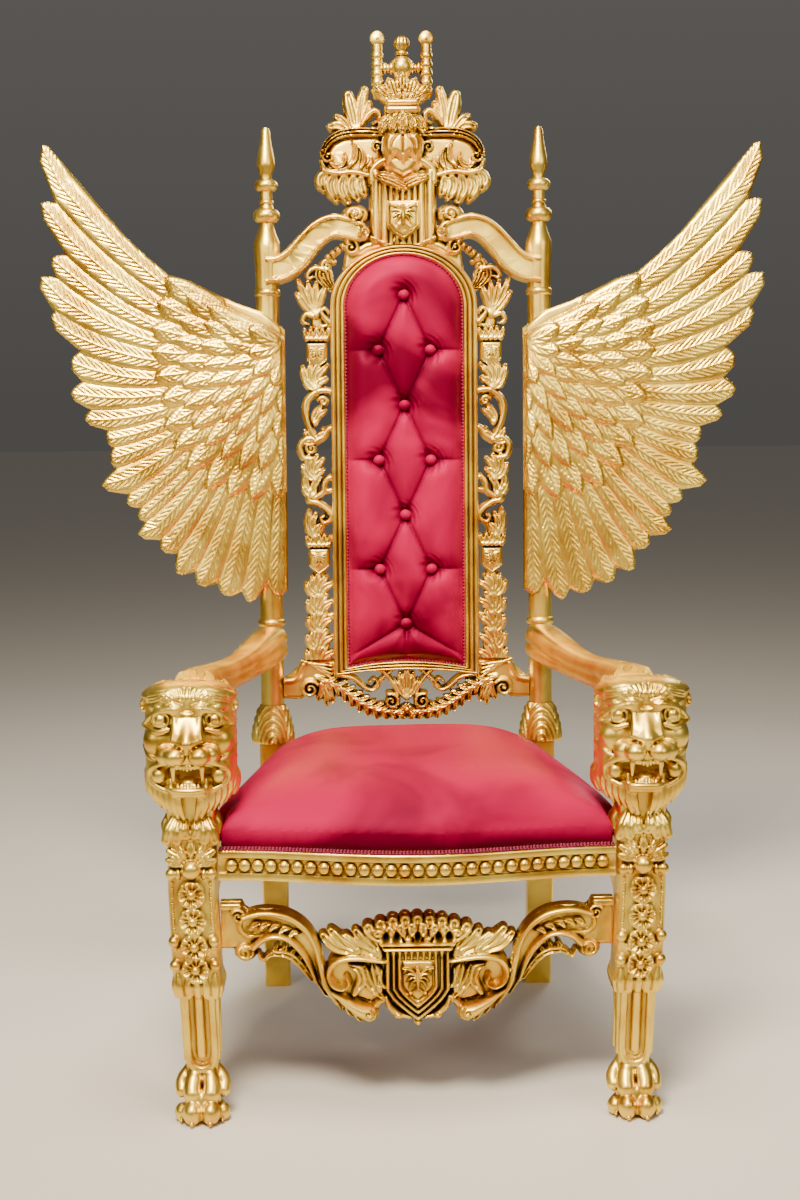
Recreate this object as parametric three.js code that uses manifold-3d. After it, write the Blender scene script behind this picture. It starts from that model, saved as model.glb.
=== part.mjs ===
// King chair: a gilded, carved ceremonial armchair. Two lion legs carry the seat in front, two turned
// posts behind carry the tall back, its pierced carving, the crest and a pair of feathered wings.
// Millimetres, +Z up, the chair faces -Y, and "left" and "right" are the viewer's.
import * as THREE from "three";
import { mergeVertices } from "three/addons/utils/BufferGeometryUtils.js";
import Module from "manifold-3d";

const wasm = await Module();
wasm.setup();

// Driving dimensions

const GAP = 0.3; // clearance between neighbouring pieces
const RAKE = THREE.MathUtils.degToRad(2); // the back leans back from the seat
const RAKE_PIVOT_Z = 450;

const POST = { x: 251, y: 300, radius: 21.5, tip: 1622, footY: 370.3, half: 24 };
const LEG = { x: 348, y: -300, half: 38, footShift: -7 };
const RAIL = { top: 428, height: 47, thickness: 32, bow: 48, endFront: -328, pearls: 29 };
const SEAT = { crown: 118, frontHalf: 305, sideHalf: 322, rearHalf: 250, neckHalf: 205, rearY: 292 };
const ARM = { halfWidth: 29, halfHeight: 28 };
const HEAD = { z: 610, y: -305, backY: -240, halfWidth: 74, up: 88, down: 100, locks: 10 };

const FRAME = { half: 135, spring: 1295, rise: 110, foot: 612, sag: 18, front: -27, back: 14 };
const PANEL = { half: 108, spring: 1292, rise: 95, foot: 627, sag: 24, front: -16, crown: 24, back: 8 };
const BUTTON = { radius: 9, depth: 7, sink: -26, topZ: 1313, pitch: 100.8, side: 48 };
const FRET = { x: 161, back: 8, ridge: -20, shields: [1228, 848] };
const CREST = { back: 12, field: -12, edge: -20, ridge: -32 };
const STRETCHER = { back: -284, edge: -312, ridge: -326 };

const WING = {
  back: -18,
  board: -27,
  innerX: 219,
  bottom: 772,
  shoulder: [222, 1232],
  tipLine: [[654, 1588], [664, 1395], [618, 1165], [566, 1000], [500, 880], [394, 776], [224, 748]],
  rootLine: [[424, 1345], [446, 1200], [424, 1045], [345, 958], [222, 962]],
  leadingEdge: [[219, 1257], [260, 1284], [307, 1300], [353, 1320], [410, 1342]],
  flights: 20,
  bend: 0.1,
  coverts: [[1, 12, 0.42], [0.7, 9, 0.4], [0.38, 5, 0.35]],
};

const GOLD = new THREE.MeshStandardMaterial({ color: 0xd6a03c, roughness: 0.36, metalness: 0.85 });
const VELVET = new THREE.MeshStandardMaterial({ color: 0xc01a38, roughness: 0.7, metalness: 0 });
const BRAID = new THREE.MeshStandardMaterial({ color: 0x8c1a3c, roughness: 0.8, metalness: 0 });

// Solids from geometry, and back

function toSolid(geometry) {
  const bare = geometry.clone();
  for (const name of Object.keys(bare.attributes)) {
    if (name !== "position") bare.deleteAttribute(name);
  }
  const merged = mergeVertices(bare, 1e-3);
  const position = merged.attributes.position;
  const corner = (i) => new THREE.Vector3().fromBufferAttribute(position, i);
  const triangles = [];
  let volume = 0;
  for (let i = 0; i < merged.index.count; i += 3) {
    const [a, b, c] = [0, 1, 2].map((k) => merged.index.getX(i + k));
    if (a === b || b === c || c === a) continue;
    triangles.push([a, b, c]);
    volume += corner(a).dot(corner(b).cross(corner(c)));
  }
  const facingOut = volume > 0 ? triangles : triangles.map(([a, b, c]) => [a, c, b]);
  return new wasm.Manifold(
    new wasm.Mesh({
      numProp: 3,
      vertProperties: new Float32Array(position.array),
      triVerts: new Uint32Array(facingOut.flat()),
    }),
  );
}

function toGeometry(solid) {
  const mesh = solid.getMesh();
  const geometry = new THREE.BufferGeometry();
  geometry.setAttribute("position", new THREE.BufferAttribute(mesh.vertProperties, 3));
  geometry.setIndex(new THREE.BufferAttribute(mesh.triVerts, 1));
  geometry.computeVertexNormals();
  return geometry;
}

function fuse(geometries, cutters = []) {
  const whole = geometries.map(toSolid).reduce((sum, next) => sum.add(next));
  return toGeometry(cutters.map(toSolid).reduce((rest, cutter) => rest.subtract(cutter), whole));
}

function mirrored(geometry) {
  return geometry.clone().applyMatrix4(new THREE.Matrix4().makeScale(-1, 1, 1));
}

function bothSides(geometries) {
  return [...geometries, ...geometries.map(mirrored)];
}

// Basic forms

const at = ([x, z], y) => new THREE.Vector3(x, y, z);
const mix = (a, b, share) => [a[0] + (b[0] - a[0]) * share, a[1] + (b[1] - a[1]) * share];
const between = (a, b) => (t) => mix(a, b, t);

function curveThrough(points) {
  const curve = new THREE.SplineCurve(points.map(([x, z]) => new THREE.Vector2(x, z)));
  return (t) => curve.getPoint(t).toArray();
}

// A closed skin over rings of points; a ring may shrink to one point.
function loft(rings) {
  const count = rings[0].length;
  const index = [];
  for (let r = 0; r + 1 < rings.length; r++) {
    for (let i = 0; i < count; i++) {
      const [a, b] = [r * count + i, r * count + ((i + 1) % count)];
      index.push(a, b, b + count, a, b + count, a + count);
    }
  }
  const last = (rings.length - 1) * count;
  for (let i = 1; i + 1 < count; i++) index.push(0, i + 1, i, last, last + i, last + i + 1);
  const geometry = new THREE.BufferGeometry().setFromPoints(rings.flat());
  geometry.setIndex(index);
  return geometry;
}

// A band along a path in the plane of a board: flat back, sloping sides, and a front share times as wide.
function band(points, halfWidths, back, front, share = 0.45) {
  const curve = new THREE.SplineCurve(points.map(([x, z]) => new THREE.Vector2(x, z)));
  const steps = halfWidths.length - 1;
  return loft(
    halfWidths.map((half, i) => {
      const centre = curve.getPoint(i / steps);
      const along = curve.getTangent(i / steps);
      const side = (reach, y) => new THREE.Vector3(centre.x + along.y * reach, y, centre.y - along.x * reach);
      const top = share > 0 ? [side(half * share, front), side(-half * share, front)] : [side(0, front)];
      return [side(-half, back), side(half, back), ...top];
    }),
  );
}

// A scroll rib: a band that comes to a ridge.
function rib(points, halfWidths, back, front) {
  return band(points, halfWidths, back, front, 0);
}

// A spread of blades side by side, as in a leaf, a shell or a row of feathers. Each blade runs from the root
// line to its own tip; between blades the edge draws in to a notch and sinks from the ridge to the edge.
function fan(rootAt, tips, settings) {
  const { back, edge, ridge, notch = 0.66, bend = 0, profile = [[0.55, 1]], spine = [0, 1] } = settings;
  const last = tips.length - 1;
  const tipAt = (k) => {
    if (k < 0) return mix(tips[1], tips[0], 1.4);
    if (k > last) return mix(tips[last - 1], tips[last], 1.4);
    return tips[k];
  };
  const rings = [];
  for (let j = 0; j <= 2 * tips.length; j++) {
    const root = rootAt(j / (2 * tips.length));
    const tip = mix(tipAt(Math.floor((j - 1) / 2)), tipAt(Math.floor(j / 2)), 0.5);
    const onBlade = j % 2 === 1;
    const end = onBlade ? tip : mix(root, tip, notch);
    const front = onBlade ? ridge : edge;
    const point = (share, depth) => {
      const bow = 4 * bend * share * (1 - share);
      const [x, z] = mix(root, end, share);
      return at([x + (end[1] - root[1]) * bow, z - (end[0] - root[0]) * bow], back + (front - back) * depth);
    };
    const rear = spine.map((share) => point(share, 0));
    rings.push([...rear, ...profile.map(([share, depth]) => point(share, depth))]);
  }
  return loft(rings);
}

function shapeOf(outline) {
  if (outline instanceof THREE.Shape) return outline;
  return new THREE.Shape(outline.map(([x, z]) => new THREE.Vector2(x, z)));
}

// A board with an outline in the XZ plane, from y = back forward to y = front.
function board(outline, back, front, curveSegments = 5) {
  const settings = { depth: back - front, bevelEnabled: false, curveSegments };
  return new THREE.ExtrudeGeometry(shapeOf(outline), settings).rotateX(Math.PI / 2).translate(0, back, 0);
}

// A raised plaque with sloping sides; its front is drawn in towards the middle.
function plaque(outline, back, front, share = 0.8) {
  const sum = outline.reduce((a, b) => [a[0] + b[0], a[1] + b[1]]);
  const middle = sum.map((v) => v / outline.length);
  return loft([outline.map((p) => at(p, back)), outline.map((p) => at(mix(middle, p, share), front))]);
}

// A turned form about the vertical line through x, y, from [radius, z] pairs listed upwards.
function turned(profile, x, y, sides) {
  const ends = [[0, profile[0][1]], ...profile, [0, profile[profile.length - 1][1]]];
  const geometry = new THREE.LatheGeometry(ends.map(([r, z]) => new THREE.Vector2(r, z)), sides);
  return geometry.rotateX(Math.PI / 2).translate(x, y, 0);
}

function ball(x, y, z, rx, ry, rz, sides, rows) {
  return new THREE.SphereGeometry(1, sides, rows).rotateX(Math.PI / 2).scale(rx, ry, rz).translate(x, y, z);
}

// A round boss on a board: a volute's eye, a disc or a pearl.
function boss(x, z, radius, back, front, sides, taper) {
  const geometry = new THREE.CylinderGeometry(radius, radius * taper, back - front, sides);
  return geometry.translate(x, (back + front) / 2, z);
}

function block(x0, x1, y0, y1, z0, z1) {
  const geometry = new THREE.BoxGeometry(x1 - x0, y1 - y0, z1 - z0);
  return geometry.translate((x0 + x1) / 2, (y0 + y1) / 2, (z0 + z1) / 2);
}

function squareRing(x, y, z, half) {
  const corners = [[-1, -1], [1, -1], [1, 1], [-1, 1]];
  return corners.map(([u, v]) => new THREE.Vector3(x + u * half, y + v * half, z));
}

// Eight-sided section with eased corners
function easedRing(centre, right, up, halfWidth, halfHeight) {
  const ease = 0.62;
  const upper = [[1, ease], [ease, 1], [-ease, 1], [-1, ease]];
  const corners = [...upper, ...upper.map(([u, v]) => [-u, -v])];
  return corners.map(([u, v]) =>
    centre.clone().addScaledVector(right, u * halfWidth).addScaledVector(up, v * halfHeight),
  );
}

const Y_AXIS = new THREE.Vector3(0, 1, 0);
const Z_AXIS = new THREE.Vector3(0, 0, 1);

function shieldOutline(x, half, top, shoulder, point) {
  return [[x - half, top], [x - half, shoulder], [x, point], [x + half, shoulder], [x + half, top]];
}

// Back posts: a splayed square foot below the seat, a leaf cap, and a turned column up to its finial

function postProfile() {
  const r = POST.radius;
  return [
    [r, 510], [r, 703], [r + 4, 710], [r, 717], [r, 1314], [r + 3, 1320], [r, 1326], [r + 3, 1410],
    [13, 1450], [25, 1458], [25, 1474], [11, 1486], [22, 1513], [22, 1527], [11, 1537], [17, 1554],
    [8, POST.tip],
  ];
}

function rakeMatrix() {
  const pivot = new THREE.Matrix4().makeTranslation(0, POST.y, RAKE_PIVOT_Z);
  const lean = new THREE.Matrix4().makeRotationX(-RAKE);
  const drop = new THREE.Matrix4().makeTranslation(0, 0, -RAKE_PIVOT_Z);
  return pivot.multiply(lean).multiply(drop);
}

function leafCap() {
  const points = 12;
  const levels = [[24, 552, 0], [40, 508, 2], [40, 488, 4]];
  return loft(
    levels.map(([radius, z, depth]) =>
      Array.from({ length: points }, (_, i) => {
        const angle = (i / points) * 2 * Math.PI;
        const reach = radius + (i % 2 ? -depth : depth);
        return new THREE.Vector3(POST.x + reach * Math.cos(angle), reach * Math.sin(angle), z);
      }),
    ),
  );
}

function backPost() {
  const h = POST.half;
  const stations = [
    [0, POST.footY, h], [110, 336, h], [240, 310, h + 1], [360, POST.y, h + 1], [490, POST.y, h],
  ];
  const lower = loft(stations.map(([z, y, half]) => squareRing(POST.x, y, z, half)));
  const upper = [turned(postProfile(), POST.x, 0, 7), leafCap()];
  return fuse([lower, ...upper.map((form) => form.applyMatrix4(rakeMatrix()))]);
}

// What a piece of the back is coped to where it meets a post, in the back's own upright frame
function postCutter(radius = POST.radius + 3) {
  const sides = 12;
  const reach = (radius + GAP) / Math.cos(Math.PI / sides);
  return turned([[reach, 440], [reach, POST.tip]], POST.x, 0, sides);
}

// Wings: a board over the post's front, flight feathers fanned beyond it, coverts in rows on top

function flightFeathers() {
  const [tipAt, rootAt] = [curveThrough(WING.tipLine), curveThrough(WING.rootLine)];
  const tips = Array.from({ length: WING.flights }, (_, i) => {
    const t = i / (WING.flights - 1);
    const shortening = i % 5 === 2 ? 0.06 : 0.012 * (i % 3);
    return mix(tipAt(t), rootAt(t), shortening);
  });
  return fan(rootAt, tips, {
    back: WING.back - 2,
    edge: WING.board - 3,
    ridge: WING.board - 12,
    notch: 0.9,
    bend: WING.bend,
    spine: [0, 0.5, 1],
    profile: [[0.55, 1]],
  });
}

function covertFeathers() {
  const rootAt = curveThrough(WING.rootLine);
  return WING.coverts.map(([reach, count, length], row) => {
    const lineAt = (share) => (t) => mix(WING.shoulder, rootAt(t), share);
    const tips = Array.from({ length: count }, (_, i) => lineAt(reach)((i + 0.5) / count));
    return fan(lineAt(Math.max(0.02, reach - length)), tips, {
      back: WING.back - 4,
      edge: WING.board - 7 - 5 * row,
      ridge: WING.board - 16 - 5 * row,
      notch: 0.82,
      bend: 0.05,
      profile: [[0.78, 1]],
    });
  });
}

function wingBoard() {
  const [tipAt, rootAt] = [curveThrough(WING.tipLine), curveThrough(WING.rootLine)];
  const outer = [0.06, 0.22, 0.38, 0.54, 0.7, 0.84].map((t) => mix(rootAt(t), tipAt(t), 0.4));
  const outline = [...WING.leadingEdge, ...outer, [300, WING.bottom + 40], [WING.innerX, WING.bottom]];
  return board(outline, WING.back, WING.board);
}

function wing() {
  const inner = block(0, WING.innerX, -90, 0, 700, 1300);
  return fuse([wingBoard(), flightFeathers(), ...covertFeathers()], [postCutter(POST.radius + 1), inner]);
}

// Upholstered panel, its moulded frame, buttons and braid

function archOutline({ half, spring, rise, foot, sag }, inset = 0) {
  const shape = new THREE.Shape();
  const h = half - inset;
  shape.moveTo(-h, foot + inset);
  shape.quadraticCurveTo(0, foot + inset + sag, h, foot + inset);
  shape.lineTo(h, spring);
  shape.absellipse(0, spring, h, rise - inset, 0, Math.PI, false);
  shape.lineTo(-h, foot + inset);
  return shape;
}

function ringBoard(outer, inner, back, front) {
  outer.holes.push(inner);
  return board(outer, back, front);
}

function frameCutter() {
  return board(archOutline(FRAME, -GAP), 60, -60);
}

function panelFrame() {
  const body = ringBoard(archOutline(FRAME), archOutline(PANEL, -GAP), FRAME.back, FRAME.front + 9);
  const moulding = ringBoard(archOutline(FRAME, 5), archOutline(PANEL, -5), FRAME.back - 4, FRAME.front);
  return fuse([body, moulding]);
}

function buttonPlaces() {
  return Array.from({ length: 7 }, (_, row) => {
    const z = BUTTON.topZ - row * BUTTON.pitch;
    return row % 2 ? [[-BUTTON.side, z], [BUTTON.side, z]] : [[0, z]];
  }).flat();
}

function backPad() {
  const bulge = {
    depth: 40,
    bevelThickness: PANEL.crown,
    bevelSize: PANEL.crown,
    bevelOffset: -PANEL.crown,
    bevelSegments: 1,
    curveSegments: 5,
  };
  const crown = new THREE.ExtrudeGeometry(archOutline(PANEL), bulge).rotateX(Math.PI / 2);
  crown.translate(0, PANEL.front + bulge.depth, 0);
  const mouth = PANEL.front - PANEL.crown - 1;
  const dimples = buttonPlaces().map(([x, z]) => boss(x, z, BUTTON.radius + 4, BUTTON.sink, mouth, 5, 1.5));
  return fuse([crown], [block(-200, 200, PANEL.back, 120, 500, 1500), ...dimples]);
}

function button() {
  const [r, d] = [BUTTON.radius, BUTTON.depth];
  return toGeometry(toSolid(turned([[r, GAP], [r * 0.7, d]], 0, 0, 6).rotateX(Math.PI / 2)));
}

function backBraid() {
  const lip = FRAME.front + 9 - GAP;
  return ringBoard(archOutline(PANEL, -4.4), archOutline(PANEL, 1.5), lip, lip - 4);
}

// Pierced carving beside the panel: shields under coronets on a winding stem with husks and scrolls

function shieldWithCoronet(x, top, ridge) {
  const tips = [-22, 0, 22].map((dx) => [x + dx, top + 27 - Math.abs(dx) * 0.1]);
  return [
    plaque(shieldOutline(x, 20, top + 2, top - 32, top - 48), 2, ridge - 2),
    fan(between([x - 16, top - 2], [x + 16, top - 2]), tips, { back: 0, edge: ridge + 6, ridge: ridge - 4 }),
  ];
}

// Stems swell into leaves and husks where their half width grows
function fretwork() {
  const { x, back, ridge, shields } = FRET;
  const stem = (points, halfWidths) => rib(points, halfWidths, back, ridge);
  const touch = FRAME.half - 8;
  const stems = [
    stem([[146, 1388], [172, 1340], [158, 1296], [x, 1240]], [8, 10, 20, 24, 8, 10]),
    stem(
      [[x, 1190], [x + 18, 1112], [x, 1068], [x + 16, 1020], [x + 12, 962], [x - 8, 920], [x, 850]],
      [8, 20, 9, 9, 19, 7, 18, 8, 10, 8],
    ),
    stem([[x, 808], [x, 632]], [7, 22, 9, 24, 10, 26, 10, 28, 12]),
  ];
  const scrolls = [
    [[touch, 1376], [160, 1366], [194, 1330]],
    [[touch, 1262], [150, 1258], [168, 1280]],
    [[touch, 1060], [144, 1090], [176, 1112]],
    [[touch, 958], [146, 984], [176, 962]],
    [[touch, 726], [150, 722], [x + 4, 704]],
  ].map((points) => rib(points, [8, 9, 8], back - 3, ridge + 4));
  const parts = [...stems, ...scrolls, ...shields.flatMap((top) => shieldWithCoronet(x, top, ridge))];
  return fuse(parts, [frameCutter(), block(0, 300, -60, 60, 600, 641 + GAP)]);
}

// Lower back rail: scrolled ends on the posts, a leafy swag, and a pierced palmette under the panel

function lowerRail() {
  const [back, edge, ridge] = [14, -14, -28];
  const shoulder = [
    [246, 600], [214, 606], [192, 641], [128, 641], [128, 612], [170, 590], [196, 566], [246, 566],
  ];
  const swagTips = [[152, 552], [116, 550], [80, 530]];
  const palmetteTips = [[-24, 598], [0, 630], [24, 598]];
  const half = [
    board(shoulder, back, edge),
    boss(181, 584, 16, edge + 2, ridge, 6, 0.7),
    band([[186, 600], [140, 592], [98, 566], [52, 544], [0, 540]], [10, 14, 16, 14, 10], back - 2, ridge),
    fan(between([150, 592], [96, 566]), swagTips, { back: 4, edge: -18, ridge: ridge - 6 }),
    rib([[98, 566], [84, 596], [60, 624]], [9, 9, 9], back - 6, edge),
    rib([[64, 628], [30, 550]], [9, 9], back - 8, edge),
  ];
  const palmette = fan(between([-12, 542], [12, 542]), palmetteTips, { back: 6, edge, ridge });
  return fuse([...bothSides(half), palmette], [frameCutter(), ...bothSides([postCutter()])]);
}

// Crest: curved top rail, cartouche with a shield, plumed helm, leafy mantling and the crown

function topRail() {
  const { back, field, edge } = CREST;
  const arm = [[246, 1360], [206, 1371], [168, 1415], [135, 1440], [84, 1424]];
  return [
    band(arm, [24, 23, 21, 20, 19, 18], back - 2, edge - 8, 0.7),
    boss(96, 1466, 23, field + 8, edge - 8, 7, 0.6),
  ];
}

function crestBody() {
  const half = [
    [30, 1662], [30, 1610], [112, 1608], [138, 1582], [116, 1536], [62, 1490], [62, 1444], [104, 1440],
    [104, 1362],
  ];
  const outline = [...half.map(([x, z]) => [-x, z]), ...half.reverse()];
  return board(outline, CREST.back, CREST.field);
}

function mantling() {
  const { field, edge, ridge } = CREST;
  const droop = [[148, 1536], [152, 1506], [122, 1484], [84, 1486]];
  const spray = [[138, 1632], [104, 1688], [66, 1694]];
  const scroll = [[24, 1612], [75, 1615], [112, 1612], [140, 1594], [144, 1564], [122, 1566]];
  return [
    band(scroll, [9, 10, 10, 9, 8, 6], field + 12, ridge),
    fan(between([84, 1566], [50, 1530]), droop, { back: field + 6, edge, ridge, notch: 0.7 }),
    fan(between([108, 1600], [56, 1600]), spray, { back: field + 8, edge, ridge, notch: 0.6 }),
  ];
}

function cartouche() {
  const { field, edge, ridge } = CREST;
  const book = [[-42, 1544], [42, 1544]];
  return [
    plaque([[-60, 1534], [-60, 1424], [0, 1380], [60, 1424], [60, 1534]], field + 6, edge - 8, 0.9),
    plaque(shieldOutline(0, 29, 1490, 1438, 1414), edge, edge - 18),
    fan(between([-40, 1500], [40, 1500]), book, { back: edge + 4, edge: edge - 10, ridge: ridge - 8 }),
  ];
}

function helmAndCrown() {
  const y = -8;
  const points = [[-52, 1696], [0, 1718], [52, 1696]];
  const rods = bothSides([
    turned([[9, 1676], [11, 1716], [8, 1740], [9, 1772]], 45, y, 5),
    boss(45, 1779, 14, y + 10, y - 10, 7, 1),
    new THREE.CylinderGeometry(8, 8, 34, 5).rotateZ(Math.PI / 2).translate(28, y, 1727),
  ]);
  return [
    ball(0, -14, 1578, 38, 28, 38, 7, 4),
    turned([[42, 1606], [28, 1640], [28, 1666], [50, 1684], [16, 1692]], 0, y, 7),
    fan(between([-26, 1672], [26, 1672]), points, { back: -4, edge: -24, ridge: -32 }),
    turned([[12, 1684], [18, 1730], [8, 1748], [15, 1766], [6, 1783]], 0, y, 6),
    ...rods,
  ];
}

function crestRail() {
  const parts = [crestBody(), ...bothSides([...topRail(), ...mantling()]), ...cartouche(), ...helmAndCrown()];
  const behind = block(-80, 80, CREST.back, 80, 1500, 1800);
  return fuse(parts, [frameCutter(), behind, ...bothSides([postCutter()])]);
}

// Front legs: a lion's head over a carved post that ends in a paw

function legPost() {
  const [h, s] = [LEG.half, LEG.footShift];
  const levels = [
    [6, 26, s], [62, 26, s], [120, 27, s], [194, 32, s / 2], [204, h, s / 3], [226, h, 0],
    [438, h, 0], [450, h + 3, 0], [476, h - 1, 0], [560, h + 16, 0],
  ];
  return loft(levels.map(([z, half, dx]) => squareRing(LEG.x + dx, LEG.y, z, half)));
}

function legCarving() {
  const front = LEG.y - LEG.half;
  const [x, s] = [LEG.x, LEG.footShift];
  const spread = (half, z, tips, relief) =>
    fan(
      between([x - half, z], [x + half, z]),
      tips.map(([dx, tipZ]) => [x + dx, tipZ]),
      { back: front + 4, edge: front - 1, ridge: front - relief },
    );
  const flutes = [-16, 0, 16].map((dx) =>
    rib([[x + dx + s / 2, 200], [x + dx * 0.85 + s, 84]], [8, 7], LEG.y - 24, LEG.y - 37),
  );
  return [
    spread(34, 486, [[-28, 440], [0, 448], [28, 440]], 13),
    spread(8, 402, [[-34, 424], [0, 444], [34, 424]], 9),
    ...flutes,
    ...[402, 362, 322, 282, 244].map((z) => boss(x, z, 18, front + 3, front - 10, 6, 0.5)),
  ];
}

// The paw runs across its toes: ridges are toes, and the toe line curves back to the sides.
function paw() {
  const x = LEG.x + LEG.footShift;
  const toes = 4;
  const rings = Array.from({ length: 2 * toes + 1 }, (_, j) => {
    const u = j / toes - 1;
    const [reach, height] = j % 2 ? [0, 0] : [9, 9];
    const frontY = LEG.y - 76 + 26 * u * u + reach;
    const px = x + 39 * u;
    const heel = LEG.y + 36 - 14 * u * u;
    const instep = [LEG.y - 26, 62 - height - 8 * u * u];
    const section = [[heel, 0], [frontY + 4, 0], [frontY + 2, 26 - height], instep, [heel, 52 - 14 * u * u]];
    return section.map(([y, z]) => new THREE.Vector3(px, y, z));
  });
  return loft(rings);
}

// The lion's face as rounded forms: centre and half sizes from the middle of the skull, mirrored where paired
const FACE = [
  { at: [0, 12, 10], size: [76, 72, 86] },
  { at: [0, -44, -10], size: [36, 38, 42] },
  { at: [0, -56, 24], size: [19, 24, 42] },
  { at: [0, -80, -4], size: [15, 10, 11] },
  { at: [19, -66, -22], size: [21, 20, 18], paired: true },
  { at: [44, -26, 2], size: [24, 24, 34], paired: true },
  { at: [28, -48, 48], size: [27, 18, 13], paired: true },
  { at: [42, -50, 30], size: [11, 9, 11], paired: true },
  { at: [0, -56, -68], size: [34, 26, 16] },
];

function faceDepth(x, z) {
  const depths = FACE.map(({ at: [cx, cy, cz], size: [rx, ry, rz], paired }) => {
    const q = ((paired ? Math.abs(x) : x) - cx) ** 2 / rx ** 2 + (z - cz) ** 2 / rz ** 2;
    return q < 1 ? cy - ry * Math.sqrt(1 - q) : 20;
  });
  const mouth = (x / 24) ** 2 + ((z + 48) / 9) ** 2;
  return mouth < 1 ? -34 : Math.min(...depths);
}

// Rings of points spread from the nose to the rim of the mane, where every second point is the tip of a lock
function lionHead() {
  const shares = [0, 0.14, 0.27, 0.39, 0.51, 0.64, 0.8, 1];
  const count = 2 * HEAD.locks;
  const ringAt = (share, depthAt) =>
    Array.from({ length: count }, (_, i) => {
      const angle = (i / count) * 2 * Math.PI;
      const [c, s] = [Math.cos(angle), Math.sin(angle)];
      const inMane = share > 0.7;
      const draw = inMane && i % 2 ? 0.88 : 1;
      const [x, z] = [HEAD.halfWidth * c * share * draw, (s > 0 ? HEAD.up : HEAD.down) * s * share * draw];
      const lift = inMane && i % 2 === 0 ? -9 : 0;
      return new THREE.Vector3(LEG.x + x, depthAt(x, z) + lift, HEAD.z + z);
    });
  const rings = shares.map((share) => ringAt(share, (x, z) => HEAD.y + (share < 1 ? faceDepth(x, z) : 22)));
  return loft([...rings, ringAt(0.8, () => HEAD.backY)]);
}

function beard() {
  const tips = [-40, 0, 40].map((dx) => [LEG.x + dx, 466 + Math.abs(dx) * 0.9]);
  const roots = between([LEG.x - 40, 560], [LEG.x + 40, 560]);
  return fan(roots, tips, { back: LEG.y, edge: LEG.y - 44, ridge: LEG.y - 56 });
}

function lionLeg() {
  return fuse([legPost(), ...legCarving(), paw(), lionHead(), beard()]);
}

// Arms: from the post, sweeping out to the back of the lion's head

function armrest() {
  const start = HEAD.backY + GAP;
  const points = [
    [POST.x, 320, 676], [POST.x + 6, 250, 672], [296, 60, 660], [336, -120, 662], [LEG.x, start, 668],
  ];
  const path = new THREE.CatmullRomCurve3(points.map((p) => new THREE.Vector3(...p)));
  const steps = 7;
  const rings = Array.from({ length: steps + 1 }, (_, i) => {
    const t = i / steps;
    const swell = 1 + 0.14 * Math.cos(2 * Math.PI * t);
    const along = t < 1 ? path.getTangent(t) : Y_AXIS.clone().negate();
    const right = new THREE.Vector3().crossVectors(along, Z_AXIS).normalize();
    return easedRing(path.getPoint(t), right, Z_AXIS, ARM.halfWidth * swell, ARM.halfHeight * swell);
  });
  const postCut = postCutter(POST.radius + 4).applyMatrix4(rakeMatrix());
  const behind = block(150, 350, POST.y, 400, 600, 760);
  return fuse([loft(rings)], [postCut, behind]);
}

// Seat: rails, domed cushion and braid

const serpentine = (x, half) => Math.cos((x / half) * Math.PI) * 0.5 + 0.5;

function frontRail() {
  const half = LEG.x - LEG.half - GAP;
  const [top, bottom, t] = [RAIL.top, RAIL.top - RAIL.height, RAIL.thickness];
  const channel = [[0, top - 12], [5, top - 14], [5, bottom + 15], [0, bottom + 13]];
  const section = [[t, top], [0, top], ...channel, [0, bottom], [t, bottom]];
  const frontAt = (x) => RAIL.endFront - RAIL.bow * serpentine(x, half);
  const steps = 8;
  const rings = Array.from({ length: steps + 1 }, (_, i) => {
    const x = -half + (2 * half * i) / steps;
    return section.map(([y, z]) => new THREE.Vector3(x, frontAt(x) + y, z));
  });
  const pearls = Array.from({ length: RAIL.pearls }, (_, i) => {
    const x = ((i + 0.5) / RAIL.pearls - 0.5) * 2 * (half - 10);
    return boss(x, (top + bottom) / 2, 9.5, frontAt(x) + 12, frontAt(x) - 3, 4, 0);
  });
  return fuse([loft(rings), ...pearls]);
}

function sideRail() {
  const [top, bottom, t] = [RAIL.top, RAIL.top - RAIL.height, RAIL.thickness];
  const [y0, y1] = [LEG.y + LEG.half + GAP, POST.y - POST.half - 1 - GAP];
  const [x0, x1] = [LEG.x - 14, POST.x];
  const outline = new THREE.Shape();
  outline.moveTo(y0 - 10, top);
  outline.lineTo(y0 - 10, bottom - 62);
  outline.quadraticCurveTo(y0 + 16, bottom - 8, y0 + 86, bottom);
  outline.lineTo(y1 + 10, bottom);
  outline.lineTo(y1 + 10, top);
  const bar = new THREE.ExtrudeGeometry(outline, { depth: t, bevelEnabled: false, curveSegments: 5 });
  bar.rotateX(Math.PI / 2).rotateZ(Math.PI / 2).translate(-t / 2, -y0, 0);
  bar.rotateZ(Math.atan2(x0 - x1, y1 - y0)).translate(x0, y0, 0);
  return fuse([bar], [block(150, 450, -400, y0, 200, 500), block(150, 450, y1, 400, 200, 500)]);
}

function backRail() {
  const half = POST.x - POST.half - 1 - GAP;
  return block(-half, half, POST.y - 16, POST.y + 16, RAIL.top - RAIL.height, RAIL.top);
}

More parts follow.
